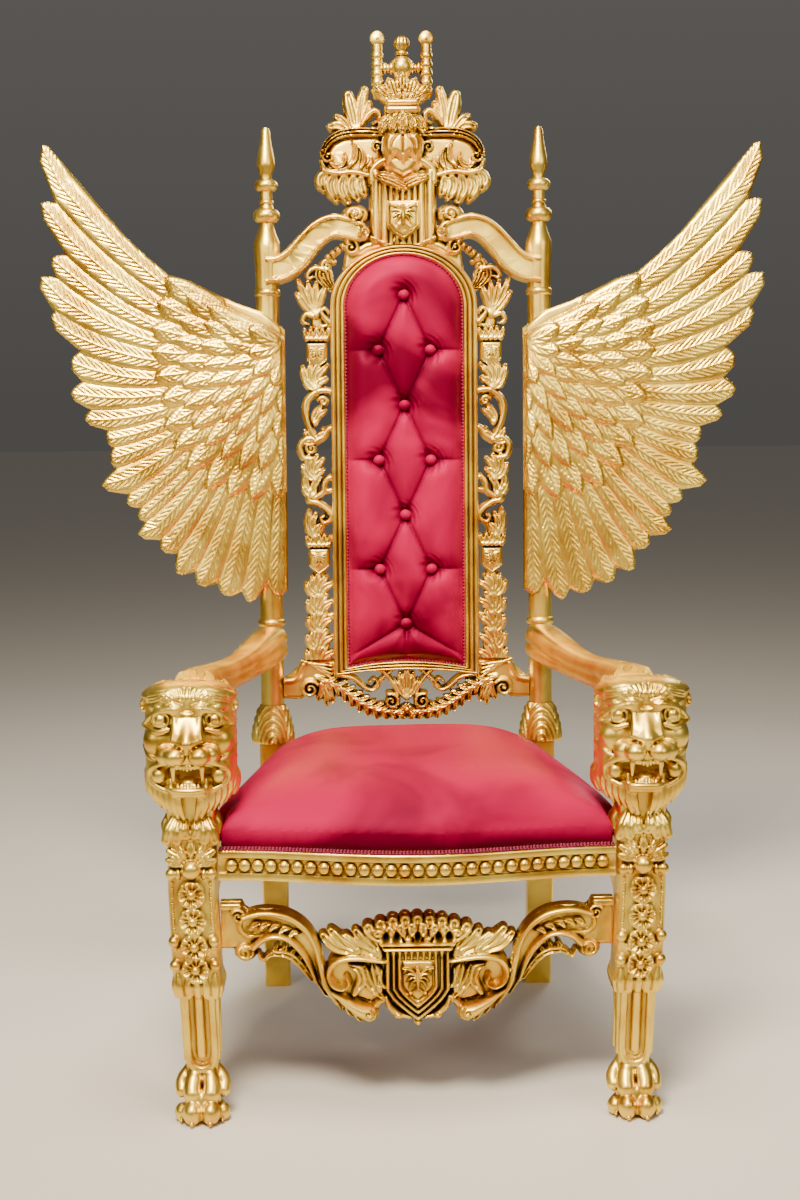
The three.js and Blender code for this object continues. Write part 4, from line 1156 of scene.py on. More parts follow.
def lowerRailShell():
    rail = {"back": -14, "step": 1.25, "end": 229.5}
    relief = Relief((-230, 530), (230, 642), rail["step"], rail["back"])
    form = (2, 20)
    shoulder = [
        (246, 602), (226, 606), (206, 624), (192, 641), (130, 641), (128, 614), (150, 600), (172, 582),
        (198, 566), (246, 568),
    ]
    plateTwice(relief, shoulder, 2, 9, 8)
    for k in range(4):
        twice(
            relief, [(196 - 9 * k, 640 - 2 * k), (178 - 8 * k, 634 - 5 * k), (140, 630 - 8 * k)], [2.5, 4, 3],
            10, 8,
        )
    twice(relief, [(232, 600), (206, 606), (192, 632)], [7, 7, 6], 6, 12)
    scroll(relief, (180, 586), 17, 1.5, 2.6, -1, 6, 4, 20)
    spray(relief, (160, 596), [(150, 556), (138, 562), (166, 566)], 8, 4, 16)
    garland = spline([(168, 606), (132, 594), (98, 568), (58, 546), (4, 540)], 12)
    twice(relief, garland[::6], [11, 13, 14, 14, 12], 0, 14)
    for k in range(11):
        here = pointAt(garland, k / 11)
        ahead = pointAt(garland, min(1, (k + 2.2) / 11))
        across = (ahead - here) * 0.55
        for side in (1, -1):
            tip = ahead + side * 0.8 * np.array([-across[1], across[0]])
            spray(relief, here, [tip], 6, 9, 13, 0.2 * side)
    twice(
        relief, [(128, 612), (100, 606), (78, 588), (62, 584), (52, 594), (60, 604), (70, 598)],
        [6, 6, 6, 6, 5, 4, 3], *form
    )
    twice(relief, [(66, 630), (44, 618), (26, 596), (16, 572)], [5, 5, 5, 5], *form)
    twice(relief, [(14, 634), (30, 618), (50, 600), (62, 586)], [5, 5, 5, 5], 0, 18)
    scroll(relief, (29, 562), 15, 1.4, 1.2, 1, 5.5, 5, 22)
    spray(relief, (0, 566), [(0, 626), (12, 614), (22, 602)], 7.5, 8, 17, 0.05)
    relief.bump((0, 546), (9, 9), 8, 18)
    twice(relief, [(0, 541), (24, 544), (52, 548)], [8, 8, 8], 0, 14)
    relief.cover = np.maximum(relief.cover, np.abs(relief.x)[None, :] - rail["end"])
    relief.cover = np.maximum(relief.cover, relief.z[:, None] - 641)
    relief.open(archLoop(*frameClear, 611.7, 18))
    return moved(relief.shell(), leaned)


addPiece("lowerRail", [lowerRailShell()], "gilding", ["lower_rail"])
print("pierced work")


# Crest

def crestShells():
    crest = {"back": -12, "step": 1.3, "axis": -8}
    relief = Relief((-251, 1338), (251, 1722), crest["step"], crest["back"])
    arm = [(252, 1360), (226, 1363), (202, 1377), (178, 1404), (152, 1430), (124, 1440), (84, 1430)]
    twice(relief, arm, [25, 25, 24, 23, 22, 21, 19], 2, 28, trayShape)
    body = [(30, 1662), (34, 1616), (62, 1600), (62, 1440), (100, 1438), (112, 1362)]
    relief.plate([*body, *reversed(flipped(body))], 0, 9, 6)
    twice(relief, [(100, 1404), (84, 1394), (66, 1404), (30, 1410)], [8, 10, 10, 12], 4, 12)
    scroll(relief, (96, 1401), 15, 1.4, 1.0, 1, 5.5, 6, 18)
    # Mantling: a swelling ground, a reeded band ending in a volute, and leaves below
    ground = [
        (30, 1614), (108, 1610), (134, 1597), (148, 1574), (149, 1548), (142, 1530), (100, 1516), (58, 1514),
        (30, 1560),
    ]
    plateTwice(relief, ground, 4, 14, 20)
    twice(
        relief, [(30, 1607), (75, 1609), (108, 1606), (130, 1596), (143, 1580), (146, 1566)],
        [9, 9, 9, 8.5, 7, 5], 12, 20, reedShape(3),
    )
    scroll(relief, (136, 1564), 10, 1.2, 0.1, -1, 4, 16, 18)
    twice(
        relief, [(148, 1558), (143, 1544), (128, 1537), (108, 1540), (92, 1552)], [4, 6.5, 7, 6, 2], 12, 15,
        leafShape,
    )
    twice(
        relief, [(131, 1553), (122, 1547), (112, 1550), (105, 1560), (106, 1572)], [4, 6, 6, 5, 2], 13, 15,
        leafShape,
    )
    twice(relief, [(98, 1548), (87, 1562), (86, 1580), (92, 1591)], [4, 7, 6, 2], 13, 15, leafShape)
    twice(relief, [(78, 1542), (72, 1556), (72, 1570), (78, 1580)], [4, 6, 5, 2], 13, 14, leafShape)
    twice(relief, [(64, 1546), (58, 1556), (58, 1566)], [4, 5, 2], 13, 13)
    scroll(relief, (47, 1582), 10, 1.2, 2.6, -1, 4, 12, 16)
    leaf = [(146, 1542), (150, 1516), (124, 1500), (98, 1496), (70, 1506), (58, 1536)]
    plateTwice(relief, leaf, 0, 10, 6)
    for lobe in (
        [(140, 1538), (149, 1524), (145, 1507)], [(124, 1535), (132, 1512), (122, 1487)],
        [(106, 1533), (112, 1508), (101, 1484)], [(90, 1531), (93, 1510), (83, 1490)],
        [(76, 1528), (77, 1512), (70, 1499)],
    ):
        twice(relief, lobe, [8, 13, 13, 6], 5, 18, leafShape)
    twice(relief, [(58, 1530), (90, 1537), (120, 1535), (146, 1541)], [5, 6, 6, 3], 14, 13)
    # Plumes over the band
    for lobe, wide in (
        ([(84, 1612), (91, 1646), (98, 1676)], 15), ([(80, 1612), (77, 1650), (69, 1687)], 11),
        ([(74, 1626), (66, 1644), (60, 1662)], 9), ([(98, 1612), (116, 1621), (132, 1621)], 10),
        ([(94, 1612), (107, 1628), (119, 1638)], 10),
    ):
        twice(relief, lobe, [w * wide for w in (0.7, 0.9, 1, 1, 0.7)], 4, 18, leafShape)
    twice(
        relief, [(74, 1622), (63, 1640), (50, 1648), (41, 1640), (44, 1628), (54, 1626)], [5, 7, 7, 6, 5, 3],
        8, 18,
    )
    # Cartouche with reeds, crossed folds and the bird's shield
    relief.plate([(-58, 1418), (0, 1394), (58, 1418), (58, 1538), (-58, 1538)], 14, 9, 4)
    for px, top, wide in ((50, 1536, 7.6), (34, 1524, 7.6), (22, 1514, 5.2), (11, 1512, 5.2), (0, 1512, 5.2)):
        twice(relief, [(px, top), (px, 1397 + 0.34 * px)], [wide], 17, 13)
    twice(relief, [(58, 1418), (30, 1406), (0, 1394)], [3.5], 18, 12)
    spray(relief, (0, 1382), [(0, 1412), (13, 1412)], 6, 18, 12)
    shieldForm(relief, 0, 29, 1484, 1438, 1413, 29, 9)
    displayedBird(relief, 0, 1455, 26, 34, 11)
    twice(relief, [(30, 1560), (47, 1550), (57, 1537), (57, 1520)], [7, 9, 8, 7], 15, 14)
    relief.plate(
        [(-33, 1572), (-35, 1550), (-20, 1532), (0, 1521), (20, 1532), (35, 1550), (33, 1572)], 18, 13, 16,
    )
    relief.stroke([(44, 1527), (22, 1521), (-5, 1508)], [5, 9.5, 9, 5], 28, 10, reedShape(3))
    relief.stroke([(-44, 1527), (-22, 1521), (5, 1508)], [5, 9.5, 9, 5], 31, 10, reedShape(3))
    helm = [(29, 1608), (36, 1592), (36.5, 1574), (27, 1552), (14, 1565), (0, 1553)]
    relief.plate([*helm, *reversed(flipped(helm[:-1]))], 33, 14, 12)
    for px in (-1, 0, 1):
        relief.groove([(px * 10, 1600), (px * 20, 1586), (px * 22, 1568)], 1.9, 4)
    for px in (-2, 2, -1, 1, 0):
        petal = [(px * 9, 1634), (px * 16, 1622), (px * 18.5, 1605 + 2 * abs(px))]
        relief.stroke(petal, [8, 11.5, 11, 6], 37 - 3 * abs(px), 12, fanShape)
    # Low volutes where the arms meet the cartouche
    for hand in (1, -1):
        relief.bump((hand * 87, 1461), (26, 19), 2, 24)
        relief.groove(curl((88, 1461), 15, 1.3, 2.9, 1) * np.array([hand, 1]), 2.2, 6, True)
        relief.bump((hand * 71, 1427), (12, 14), 12, 20)
        relief.groove(curl((71, 1426), 7, 1.1, 1.4, 1) * np.array([hand, 1]), 1.8, 4, True)
    # Coronet of fluted leaves
    fan = [
        (0, 1722), (7, 1709), (13, 1702), (26, 1707), (32, 1694), (48, 1692), (50, 1680), (42, 1668),
        (26, 1659),
    ]
    relief.plate([*fan, *reversed(flipped(fan[1:]))], 26, 9, 7)
    for k in range(-7, 8):
        px = 7.2 * k
        relief.groove([(px * 0.5, 1668), (px, np.interp(abs(px), [0, 28, 54], [1716, 1698, 1680]))], 1.3, 4)
    for px, top in ((24, 1680), (0, 1687)):
        twice(
            relief, [(px * 0.6, 1660), (px * 0.85, 1670), (px, top)], [6, 10, 4], 29 - 0.2 * px, 12, fanShape,
        )
    for z, tall in ((1646, 8), (1659, 6.5)):
        relief.stroke([(-25, z), (25, z)], [tall], 35, 14)
    relief.open(archLoop(*frameClear, 612, 18))
    shells = [relief.shell()]
    y = crest["axis"]
    neck = [
        (26, 1636), *bead(1645, 30, 14, 26), (25, 1654), *bead(1662, 29, 10, 25), (26, 1668), (24, 1676),
        (10, 1690),
    ]
    vase = [
        (9, 1690), (12, 1706), (18, 1716), (21.5, 1727), (19, 1738), (11, 1746), *bead(1752, 12, 8, 8),
        (8, 1757), (13, 1763), (15, 1770), (13.5, 1777), (8, 1783), (1, 1785),
    ]

    def ribs(angle, z):
        return -1.2 * np.exp(-((((angle * 8 / (2 * math.pi)) % 1 - 0.5) / 0.12) ** 2)) * (z > 1758)

    shells += [lathe(neck, 0, y, 40), lathe(vase, 0, y, 64, ribs)]
    rod = [
        (7, 1670), *[p for z in (1684, 1700, 1716, 1732, 1748) for p in bead(z, 11.8, 12, 9.2)], (9.5, 1760),
        (9.5, 1768),
    ]
    disc = [(1, -7), (11, -7), (13.6, -5), (13.6, 5), (11, 7), (1, 7)]
    for side in (-1, 1):
        flat = lathe(disc, 0, 0, 28)
        shells += [
            lathe(rod, side * 45, y, 20),
            moved(flat, lambda p: np.c_[p[:, 0] + side * 44.5, y - p[:, 2], p[:, 1] + 1778.5]),
        ]
        shells.append(ellipsoid((side * 44.5, y - 7, 1778.5), (3, 2, 3), 10, 6))
        for k in range(4):
            shells.append(
                ellipsoid((side * (19 + 6 * k), y, 1726), (5, 11 - 3 * (k % 2), 11 - 3 * (k % 2)), 14, 8)
            )
    return [moved(s, leaned) for s in shells]


addPiece("crestRail", crestShells(), "gilding", ["crest_rail"], 42, 0.75)
print("crest")


# Front stretcher

def stretcherShell():
    stretcher = {"back": 284, "step": 1.35, "end": 309.5}
    relief = Relief((-310, 136), (310, 342), stretcher["step"], stretcher["back"])
    b = stretcher["back"]
    for hand in (1, -1):
        block = [(312, 341), (276, 341), (271, 331), (256, 320), (250, 292), (262, 262), (312, 262)]
        relief.plate([(hand * px, pz) for px, pz in block][::-hand], b + 3, 11, 6)
        ledge = [(312, 341), (277, 341), (272, 334), (282, 325), (312, 325)]
        relief.plate([(hand * px, pz) for px, pz in ledge][::-hand], b + 12, 12, 5)
        relief.bump((hand * 271, 259), (18, 15), b + 6, 28)
        relief.groove(curl((272, 260), 10, 1.2, 3.6, -1) * np.array([hand, 1]), 2.2, 6, True)
    scroll(relief, (281, 318), 12, 1.4, 0.6, 1, 4.5, b + 14, 14)
    # Arms: a broad hollow between two ridges, a leaf lying in it and a toothed leaf below
    hollow = [(262, 302), (230, 305), (200, 298), (177, 280), (164, 252), (156, 222), (142, 194)]
    twice(relief, hollow, [21, 24, 22, 18, 13, 11, 8], b + 9, 13, trayShape)
    ridge = [
        (274, 318), (250, 324), (224, 323), (198, 315), (175, 297), (160, 271), (154, 243), (146, 208),
        (128, 178),
    ]
    twice(relief, ridge, [6, 7, 8, 8, 7.5, 7, 6.5, 6, 4], b + 14, 24)
    ridge = [(258, 268), (244, 280), (226, 286), (204, 281), (184, 262), (170, 238), (160, 212)]
    twice(relief, ridge, [6, 6, 6, 6, 6, 5, 4], b + 12, 22)
    for k in range(5):
        root = np.array([262 - 15 * k, 298 - 0.9 * k * k])
        twice(relief, [root, root + (-7, 7), root + (-18, 10 - k)], [4, 6.5, 2], b + 12, 14, leafShape)
    leaf = [(250, 258), (243, 248), (229, 257), (205, 255), (185, 240), (166, 214)]
    twice(relief, leaf, [3, 5, 7, 8, 7, 4], b + 8, 22, leafShape)
    for k in range(5):
        root = pointAt(spline(leaf), 0.3 + 0.13 * k)
        twice(relief, [root, root + (-1, 8), root + (-6, 15)], [4, 5.5, 2], b + 10, 16, leafShape)
    # Leaves and scrolls beside the shield, over a sunk ground
    ground = [(48, 262), (96, 266), (134, 258), (148, 232), (140, 204), (112, 184), (72, 172), (48, 182)]
    plateTwice(relief, ground, b + 1, 6, 4)
    for lobe, wide in (
        ([(98, 256), (130, 266), (149, 284)], 11), ([(94, 258), (120, 275), (136, 292)], 11),
        ([(92, 260), (108, 273), (120, 283)], 9),
        ([(60, 252), (92, 264), (113, 282)], 12), ([(60, 254), (82, 272), (97, 290)], 11),
        ([(60, 258), (70, 274), (79, 288)], 9),
    ):
        twice(relief, lobe, [w * wide for w in (0.6, 0.9, 1, 1, 0.7)], b + 6, 22, leafShape)
    inner = [(50, 243), (97, 249), (127, 244), (142, 226), (136, 206), (121, 199), (109, 206), (112, 217)]
    twice(relief, inner, [5, 6.5, 7, 7, 6, 5, 4, 3], b + 10, 24)
    for lobe, wide in (
        ([(100, 190), (88, 210), (92, 228), (106, 234)], 10), ([(60, 196), (64, 218), (70, 238)], 11),
        ([(66, 192), (79, 212), (84, 232)], 10),
        ([(52, 200), (60, 210), (58, 228)], 6), ([(54, 182), (62, 190), (72, 192)], 7),
        ([(140, 196), (124, 176), (120, 164)], 7),
        ([(116, 180), (110, 166), (104, 155)], 7), ([(102, 168), (96, 156), (89, 146)], 7),
    ):
        twice(relief, lobe, [w * wide for w in (0.6, 0.9, 1, 0.9, 0.4)], b + 6, 20, leafShape)
    twice(relief, [(138, 196), (114, 178), (92, 164), (76, 158)], [5, 7, 11, 14], b + 12, 24)
    twice(relief, [(70, 164), (58, 176), (46, 178)], [7, 6, 6], b + 4, 16)
    twice(relief, [(50, 184), (44, 168), (30, 156), (12, 152)], [5, 7, 7, 5], b + 6, 20)
    for hand in (1, -1):
        relief.groove(curl((78, 158), 9, 1.1, 2.2, 1) * np.array([hand, 1]), 1.8, 4, True)
        relief.bump((hand * 31, 155), (9, 7), b + 12, 18)
    relief.bump((0, 143), (6, 6), b + 10, 20)
    # Shield in nested ridges, toothed along the top
    relief.plate(shieldOutline(0, 51, 259, 195, 147), b + 8, 8, 4)
    relief.plate(shieldOutline(0, 46, 259, 195, 152), b + 14, 8, 4)
    for k in range(3):
        relief.stroke(
            shieldOutline(0, 47 - 9 * k, 259, 197 + 2 * k, 150 + 10 * k), [4.1], b + 15, 15, roundShape, True,
        )
    shieldForm(relief, 0, 28, 246, 200, 172, b + 20, 6)
    displayedBird(relief, 0, 213, 26, b + 23, 12)
    for k in range(-4, 5):
        relief.stroke([(k * 9.5, 260), (k * 9.5, 248)], [4.6, 0.8], b + 24, 9)
    for z, half in ((264, 51), (272, 56)):
        relief.stroke([(-half, z), (half, z)], [4.6], b + 22, 16)
    # Crown: two rows of curling leaves over dark gaps
    for k in range(-4, 5):
        top = 317 - 14 * (k / 4) ** 2
        relief.stroke(
            [(k * 14, 276), (k * 18.4, 294 - abs(k)), (k * 19.4, top - 6)], [7, 10, 11.5, 10.5],
            b + 13 - abs(k), 23, leafShape,
        )
    for k in range(-4, 4):
        px = k + 0.5
        relief.stroke(
            [(px * 15, 288), (px * 17.6, 299 - 0.7 * px * px), (px * 18, 301 - px * px)], [5, 9, 8],
            b + 24 - abs(px), 16, leafShape,
        )
    for px in (-50, -33, 0, 33, 50):
        relief.groove([(px, 286), (px, 281)], 4.5, 20)
    relief.cover = np.maximum(relief.cover, np.abs(relief.x)[None, :] - stretcher["end"])
    return relief.shell()


addPiece("frontStretcher", [stretcherShell()], "gilding", ["front_stretcher"], 42, 0.8)
print("stretcher")


# Lion legs

def lionShell():
    lion = {"step": 1.5, "rosettes": (362, 320, 279, 243), "petals": 11, "fan": 8}
    field = Field((270, -402, 0), (426, -238.5, 702), lion["step"])
    headY, headZ = -305, 602
    levels = [0, 6, 62, 120, 194, 204, 226, 438, 450, 476, 520, 560, 600]
    halves = [24, 26, 25, 26, 29, 36, 38, 38, 39, 37, 42, 50, 52]
    area, (gx, gy, gz) = field.window((270, -398, 0), (426, -238, 600), 0)
    half = np.interp(gz, levels, halves)
    middle = np.interp(gz, [0, 200, 430, 520, 600], [-304, -300, -300, -300, -296])
    square = ((gx - legX) ** 6 + np.abs(gy - middle) ** 6) ** (1 / 6) - half
    field.put(area, np.maximum(square, gz - 590), 3, False)

    def spot(dx, dy, dz):
        return (legX + dx, headY + dy, headZ + dz)

    def pairs(dx):
        return (dx, -dx) if dx else (0,)

    def mass(dx, dy, dz, half, soft=6.0, cut=False):
        for side in pairs(dx):
            field.ball(spot(side, dy, dz), half, soft, cut)

    def lock(points, radii, soft=1.6, cut=False):
        for hand in (1, -1):
            field.strand([spot(hand * dx, dy, dz) for dx, dy, dz in points], radii, soft, cut)

    def drape(points, radii, soft=0.6):
        for hand in (1, -1):
            path = [
                (legX + hand * dx, field.front(legX + hand * dx, headZ + dz) - 0.4, headZ + dz)
                for dx, dz in points
            ]
            field.strand(path, radii, soft, True, 2)

    # Head: boxed skull, cheeks, brow, broad nose and muzzle
    field.block(spot(0, 8, 0), (69, 52, 82), 28, 8)
    mass(0, -8, 6, (66, 50, 70), 10)
    mass(0, -12, 58, (62, 46, 22), 8)
    mass(0, -12, 71, (74, 49, 22), 6)
    mass(26, -25, 72, (37, 37, 20), 5)
    mass(40, -36, 57, (18, 20, 10), 5)
    mass(46, -36, 4, (24, 22, 24), 8)
    for t in np.linspace(0, 1, 14):
        field.block(spot(0, -42 - 24 * t, 48 - 36 * t), (19 + 2 * t, 13, 9), 7, 4)
    lock([(19, -58, 49), (19, -66, 32), (20.5, -75, 10)], [4.5, 4, 5], 3)
    field.strand([spot(0, -50, 46), spot(0, -62, 28), spot(0, -74, 11)], [5, 8, 12], 5)
    mass(0, -75, 7, (20, 12, 9), 4)
    field.strand([spot(0, -80, 4), spot(0, -80, -8)], [11, 5], 3)
    lock([(7, -92, -1), (15, -86, 1)], [2.4, 2], 1, True)
    mass(31, -60, -15, (19, 18, 15), 4)
    mass(18.5, -76, -14.5, (17.5, 19, 14.5), 1.0)
    field.strand([spot(0, -93, -14), spot(0, -86, -28)], [1.8], 1.2, True)
    mass(21, -56, 57, (15, 13, 9.5), 4)
    field.strand([spot(-21, -61, 50), spot(0, -58, 46), spot(21, -61, 50)], [4.5], 3)
    lock([(20, -60, 55), (36, -59, 53), (52, -50, 46), (69, -28, 28)], [6, 5, 4.5, 3.5], 4)
    lock([(28, -59, 24), (47, -55, 20), (69, -28, 25)], [3.5, 4.5, 3.5], 2.5)
    field.strand([spot(0, -68, 78), spot(0, -66, 58)], [2.5, 2], 3, True)
    mass(41, -64, 39, (14, 11, 10.5), 2, True)
    mass(41, -51, 38.5, (9.6, 10, 9.6), 0.4)
    for side in (-1, 1):
        ring = [
            spot(side * (41 + 12.5 * math.cos(a)), -56 + 3.5 * math.cos(a), 38.5 + 11 * math.sin(a))
            for a in np.linspace(0, 6.2832, 13)
        ]
        field.strand(ring, [2.3], 0.8, per=2)
    # Mouth with teeth, tongue, jowls and jaw
    field.block(spot(0, -62, -48), (20, 42, 12.5), 5, 2, True)
    field.block(spot(0, -56, -45), (34, 34, 8), 5, 2, True)
    field.ball(spot(0, -50, -58), (13, 17, 8), 2)
    field.block(spot(0, -48, -75), (27, 15, 7), 6, 4)
    field.strand(
        [spot(-33, -50, -67), spot(-17, -66, -70), spot(17, -66, -70), spot(33, -50, -67)], [4.5, 5, 5, 4.5],
        2,
    )
    for k in range(7):
        dx = (k - 3) * 5.2
        field.strand(
            [spot(dx, -76 + 0.3 * abs(dx), -30), spot(dx, -75 + 0.3 * abs(dx), -36.5 + 0.2 * abs(dx))],
            [3, 2.2], 0.7,
        )
        field.strand(
            [spot(dx, -67 + 0.25 * abs(dx), -67), spot(dx, -67 + 0.25 * abs(dx), -61)], [2.9, 2], 0.7,
        )
    lock([(22, -71, -32), (22, -68, -53)], [4.6, 2], 0.8)
    lock([(27, -59, -67), (27, -59, -52)], [4, 1.6], 0.8)
    mass(45, -47, -48, (12, 12, 13), 1.4)
    lock(
        [(30, -69, -25), (47, -60, -30), (60, -43, -42), (57, -41, -60), (38, -51, -71)],
        [4, 4.5, 4.5, 4.5, 4], 1.6,
    )
    lock([(42, -56, -28), (60, -42, -20), (70, -18, -6)], [3.5, 4.5, 3.5], 2)
    # Hair: two fans and long strands over the brow, locks on the sides and top, and the beard
    for k in range(lion["fan"]):
        a = 0.05 + 1.5 * k / (lion["fan"] - 1)
        fan = [(4 + r * 38 * math.cos(a), 59 + r * 27 * math.sin(a)) for r in (0.2, 0.45, 0.7, 1)]
        drape(fan, [1.3, 1.9, 1.9, 1.5])
    for k in range(4):
        drape(
            [(32, 83 - 4 * k), (42, 82 - 4.5 * k), (52, 79 - 5 * k), (61, 76 - 5 * k)], [1.4, 1.9, 1.8, 1.5],
        )
    for k in range(8):
        dz = 76 - 19 * k
        lock([(58, -30, dz), (63, -6, dz - 5), (63, 24, dz - 13), (58, 58, dz - 16)], [6, 7.5, 7.5, 7], 1.6)
    for k in range(5):
        lock(
            [
                (3 + 13 * k, -32, 82), (4 + 13.5 * k, -6, 83 - k), (5 + 12 * k, 34, 82 - k),
                (4 + 11 * k, 64, 78),
            ],
            [3, 5, 6, 5], 1.2,
        )
    beard = (
        (17, -51, -72, 46), (26, -49, -72, 44), (35, -45, -70, 40), (44, -40, -64, 42), (53, -34, -58, 44),
        (61, -26, -52, 44), (66, -12, -46, 46),
    )
    for dx, dy, dz, fall in beard:
        lock([(dx, dy, dz), (dx - 1, dy + 1, dz - fall / 2), (dx - 8, dy + 7, dz - fall)], [6, 6.6, 2.6], 1)
    for dx, tip in ((64, -92), (50, -106), (35, -114), (20, -104)):
        for dy in (8, 38):
            lock([(dx, dy, -62), (dx, dy, -84), (dx - 5, dy - 4, tip + 5)], [10, 10, 4], 2)
    # A small ear at each temple
    mass(70, -20, 56, (6, 9, 11), 2)
    mass(72, -27, 56, (4, 4, 6), 1.5, True)

    # Leg: leaf collar, shell, rosettes on straps, lobed collar, flutes and paw
    front = -300 - 38

    def carve(points, radii, soft=1.4, cut=False):
        for hand in (1, -1):
            field.strand([(legX + hand * dx, y, z) for dx, y, z in points], radii, soft, cut)

    for root, middle, tip in (
        ((10, 482), (10, 468), (7, 457)), ((18, 484), (21, 464), (21, 449)),
        ((24, 484), (33, 466), (37, 449)),
    ):
        carve(
            [(dx, front + d, z) for (dx, z), d in zip((root, middle, tip), (3, -3, -3))], [5, 9.5, 8.5], 0.8,
        )
        carve([(dx, front - d, z) for (dx, z), d in zip((root, middle, tip), (3, 13, 12))], [2], 0.8, True)
        for side in (-1, 1):
            back = [(-300 + (dx - 21) * 1.4, z) for dx, z in (root, middle, tip)]
            field.strand([(legX + side * d, y, z) for (y, z), d in zip(back, (36, 41, 41))], [5, 7.5, 5], 1.2)
    field.ball((legX, front - 2, 402), (16, 16, 15.5), 0.8)
    for dx in (20, 31):
        for side in (-1, 1):
            field.ball((legX + side * dx, front - 1, 395), (5 if dx == 20 else 9, 9, 9.5), 0.8)
    for a, far in ((1.57, 45), (1.08, 45), (0.68, 44), (0.36, 38)):
        ray = [(r * math.cos(a), front - d, 403 + r * math.sin(a)) for r, d in ((16, 0), (28, 2), (far, -1))]
        carve(ray, [3.5, 7, 5], 0.8)
        carve([(dx, y - 7, z) for dx, y, z in ray], [1.2, 2, 1.6], 0.6, True)
    for z in lion["rosettes"]:
        field.ball((legX, front - 1, z), (20, 9, 20), 1)
        field.ball((legX, front - 13, z), (17.5, 9.5, 17.5), 0.8, True)
        ring = [
            (legX + 18.6 * math.cos(a), front - 5.5, z + 18.6 * math.sin(a))
            for a in np.linspace(0, 6.2832, 17)
        ]
        field.strand(ring, [3.1], 0.6, per=2)
        for k in range(lion["petals"]):
            a = (k + 0.5) * 2 * math.pi / lion["petals"]
            path = [
                (legX + r * math.cos(a), front - d, z + r * math.sin(a))
                for r, d in ((8, 3.4), (13, 5.5), (21, 9.5))
            ]
            field.strand(path, [1.9], 0.5, True)
        field.ball((legX, front - 5, z), (7.5, 8, 7.5), 0.5)
    carve([(26, front - 0.5, 384), (26, front - 0.5, 300)], [1.5], 0.8, True)
    carve([(34, front, 384), (34, front, 300)], [1.3], 0.8, True)
    for k in range(10):
        carve([(30, front - 0.5, 305 + 8 * k), (30, front - 0.5, 308.5 + 8 * k)], [2], 0.6)
    for z in (288, 250):
        for side in (-1, 1):
            field.ball((legX + side * 31, front - 1, z), (9, 10, 9.5), 1)
    carve([(32, front + 1, 280), (14, front - 2, 264), (0, front - 2, 260)], [3.6], 1)
    for k in range(-2, 3):
        field.strand(
            [
                (legX + 14 * k, front + 4, 232), (legX + 14 * k, front + 2, 214),
                (legX + 13.4 * k, front + 5, 200),
            ],
            [5, 7.5, 6], 1,
        )
        for side in (-1, 1):
            field.strand(
                [
                    (legX + side * 33, -300 + 14 * k, 228), (legX + side * 34, -300 + 14 * k, 214),
                    (legX + side * 32, -300 + 13.6 * k, 200),
                ],
                [5, 7.5, 6], 1,
            )
    flute = [(20.5, 198), (20.5, 150), (20.5, 104), (15, 86), (0, 79)]
    inner = [(11.5, 204), (11.5, 150), (11.5, 106), (7.5, 95), (0, 91)]
    face = [np.interp(z, [60, 120, 194], [-328, -327.6, -329]) for _, z in flute]
    carve([(dx, y - 1, z) for (dx, z), y in zip(inner, face)], [5.5], 1.2, True)
    carve([(dx, y - 2, z) for (dx, z), y in zip(flute, face)], [5.5], 1)
    field.strand([(legX, -328, z) for z in (204, 160, 103)], [7], 1)
    for side in (-1, 1):
        for dy in (-19, 19):
            field.strand([(legX + side * 27, -300 + dy, 198), (legX + side * 25, -302 + dy, 96)], [4.2], 1.2)
        field.strand([(legX + side * 30, -300, 198), (legX + side * 29, -302, 104)], [6], 1.2, True)
    field.ball((legX, -318, 12), (38, 42, 14), 4)
    field.ball((legX, -310, 42), (29, 30, 27), 5)
    field.ball((legX, -344, 30), (12, 15, 22), 4)
    for dx, dy, big in ((14.5, 0, 1.0), (32, 19, 0.76)):
        for side in (-1, 1):
            x = legX + side * dx
            field.strand(
                [(legX + side * dx * 0.55, -318 + 0.6 * dy, 84), (x, -336 + dy, 58), (x, -345 + dy, 45)],
                [8 * big, 14 * big, 14.5 * big], 2,
            )
            field.ball((x, -356 + dy, 19 * big), (15 * big, 19 * big, 19 * big), 5)
            field.ball((x, -373 + dy, 7), (3.6 * big, 4, 3.6 * big), 1)

    def drawnIn(points):
        # The legs draw in a little towards the floor
        shift = np.interp(points[:, 2], [0, 85, 200, 250, 362, 520], [-8, -8, -4, -1, 3, 2])
        return points + shift[:, None] * np.array([1, 0, 0])

    return moved(field.shell(), drawnIn)


addPair("lionLeg", [lionShell()], "gilding", "lion_leg", 75, 0.3)
print("lions")


# Floor, light and camera

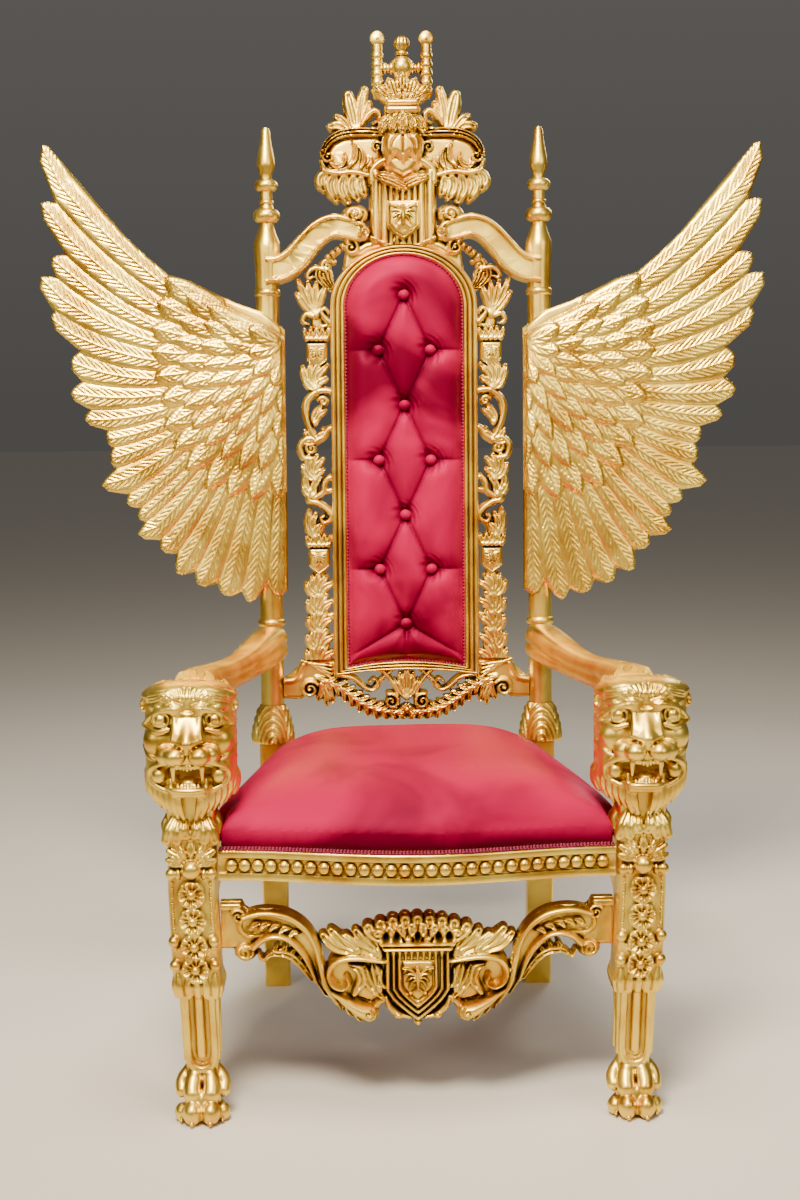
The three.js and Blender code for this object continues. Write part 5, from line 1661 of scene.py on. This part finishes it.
def studio():
    reach = 40
    floor = bpy.data.meshes.new("floor")
    corners = [(-reach, -reach), (reach, -reach), (reach, reach), (-reach, reach)]
    floor.from_pydata([(x, y, -0.0005) for x, y in corners], [], [[0, 1, 2, 3]])
    material, tree = newMaterial("palePaper")
    shader = addNode(
        tree, "ShaderNodeBsdfPrincipled",
        values={"Base Color": linear("#d9d4cc"), "Roughness": 0.85, "IOR": 1.45},
    )
    addNode(tree, "ShaderNodeOutputMaterial", links={"Surface": shader.outputs[0]})
    floor.materials.append(material)
    sheet = bpy.data.objects.new("floor", floor)
    bpy.context.scene.collection.objects.link(sheet)
    world = bpy.data.worlds.new("studio")
    bpy.context.scene.world = world
    world.use_nodes = True
    sky = world.node_tree
    way = addNode(sky, "ShaderNodeTexCoord").outputs["Generated"]
    rise = addNode(sky, "ShaderNodeSeparateXYZ", links={"Vector": way}).outputs["Z"]
    pale = ramp(sky, rise, [(0.0, linear("#a8a49e")), (0.4, linear("#d6d1c9"))])
    sky.links.new(pale, sky.nodes["Background"].inputs["Color"])
    sky.nodes["Background"].inputs["Strength"].default_value = 0.2
    lamps = [
        ("key", (-0.6, -2.6, 3.5), (0, 0.1, 1.4), 1.3, 108, "#fff0d6", 90),
        ("fill", (2.2, -2.8, 2.4), (0, 0.1, 1.2), 1.5, 18, "#fff4e4", 120),
        ("side", (-2.4, -2.4, 2.0), (0, 0.1, 1.2), 1.3, 10, "#fff4e4", 120),
        ("top", (0.0, -0.7, 3.8), (0, 0.0, 0.9), 1.4, 58, "#fff5e6", 150),
        ("back", (1.4, 2.6, 2.6), (0, 0.2, 1.1), 1.2, 22, "#ffffff", 150),
    ]
    for name, place, aim, wide, watts, tint, beam in lamps:
        lamp = bpy.data.lights.new(name, "AREA")
        lamp.shape, lamp.size, lamp.energy, lamp.color = "DISK", wide, watts, linear(tint)[:3]
        lamp.spread = math.radians(beam)
        holder = bpy.data.objects.new(name, lamp)
        bpy.context.scene.collection.objects.link(holder)
        away = np.array(place, float) - np.array(aim, float)
        holder.matrix_world = facing(away / np.linalg.norm(away), place)


def facing(back, place):
    right = np.cross((0, 0, 1), back)
    right = right / np.linalg.norm(right) if np.linalg.norm(right) > 1e-4 else np.array([1.0, 0, 0])
    up = np.cross(back, right)
    return Matrix([[right[k], up[k], back[k], place[k]] for k in range(3)] + [[0, 0, 0, 1]])


def photoCamera():
    view = {"place": (-0.084, -3.237, 1.124), "yaw": 1.18, "pitch": 6.02, "roll": -0.44, "lens": 57.24}
    yaw, pitch, roll = (math.radians(view[k]) for k in ("yaw", "pitch", "roll"))
    back = -np.array([math.sin(yaw) * math.cos(pitch), math.cos(yaw) * math.cos(pitch), -math.sin(pitch)])
    camera = bpy.data.cameras.new("photo")
    camera.lens, camera.sensor_fit, camera.sensor_height = view["lens"], "VERTICAL", 36
    holder = bpy.data.objects.new("photo", camera)
    bpy.context.scene.collection.objects.link(holder)
    holder.matrix_world = facing(back, view["place"]) @ Matrix.Rotation(roll, 4, "Z")
    bpy.context.scene.camera = holder


studio()
photoCamera()
print("studio")
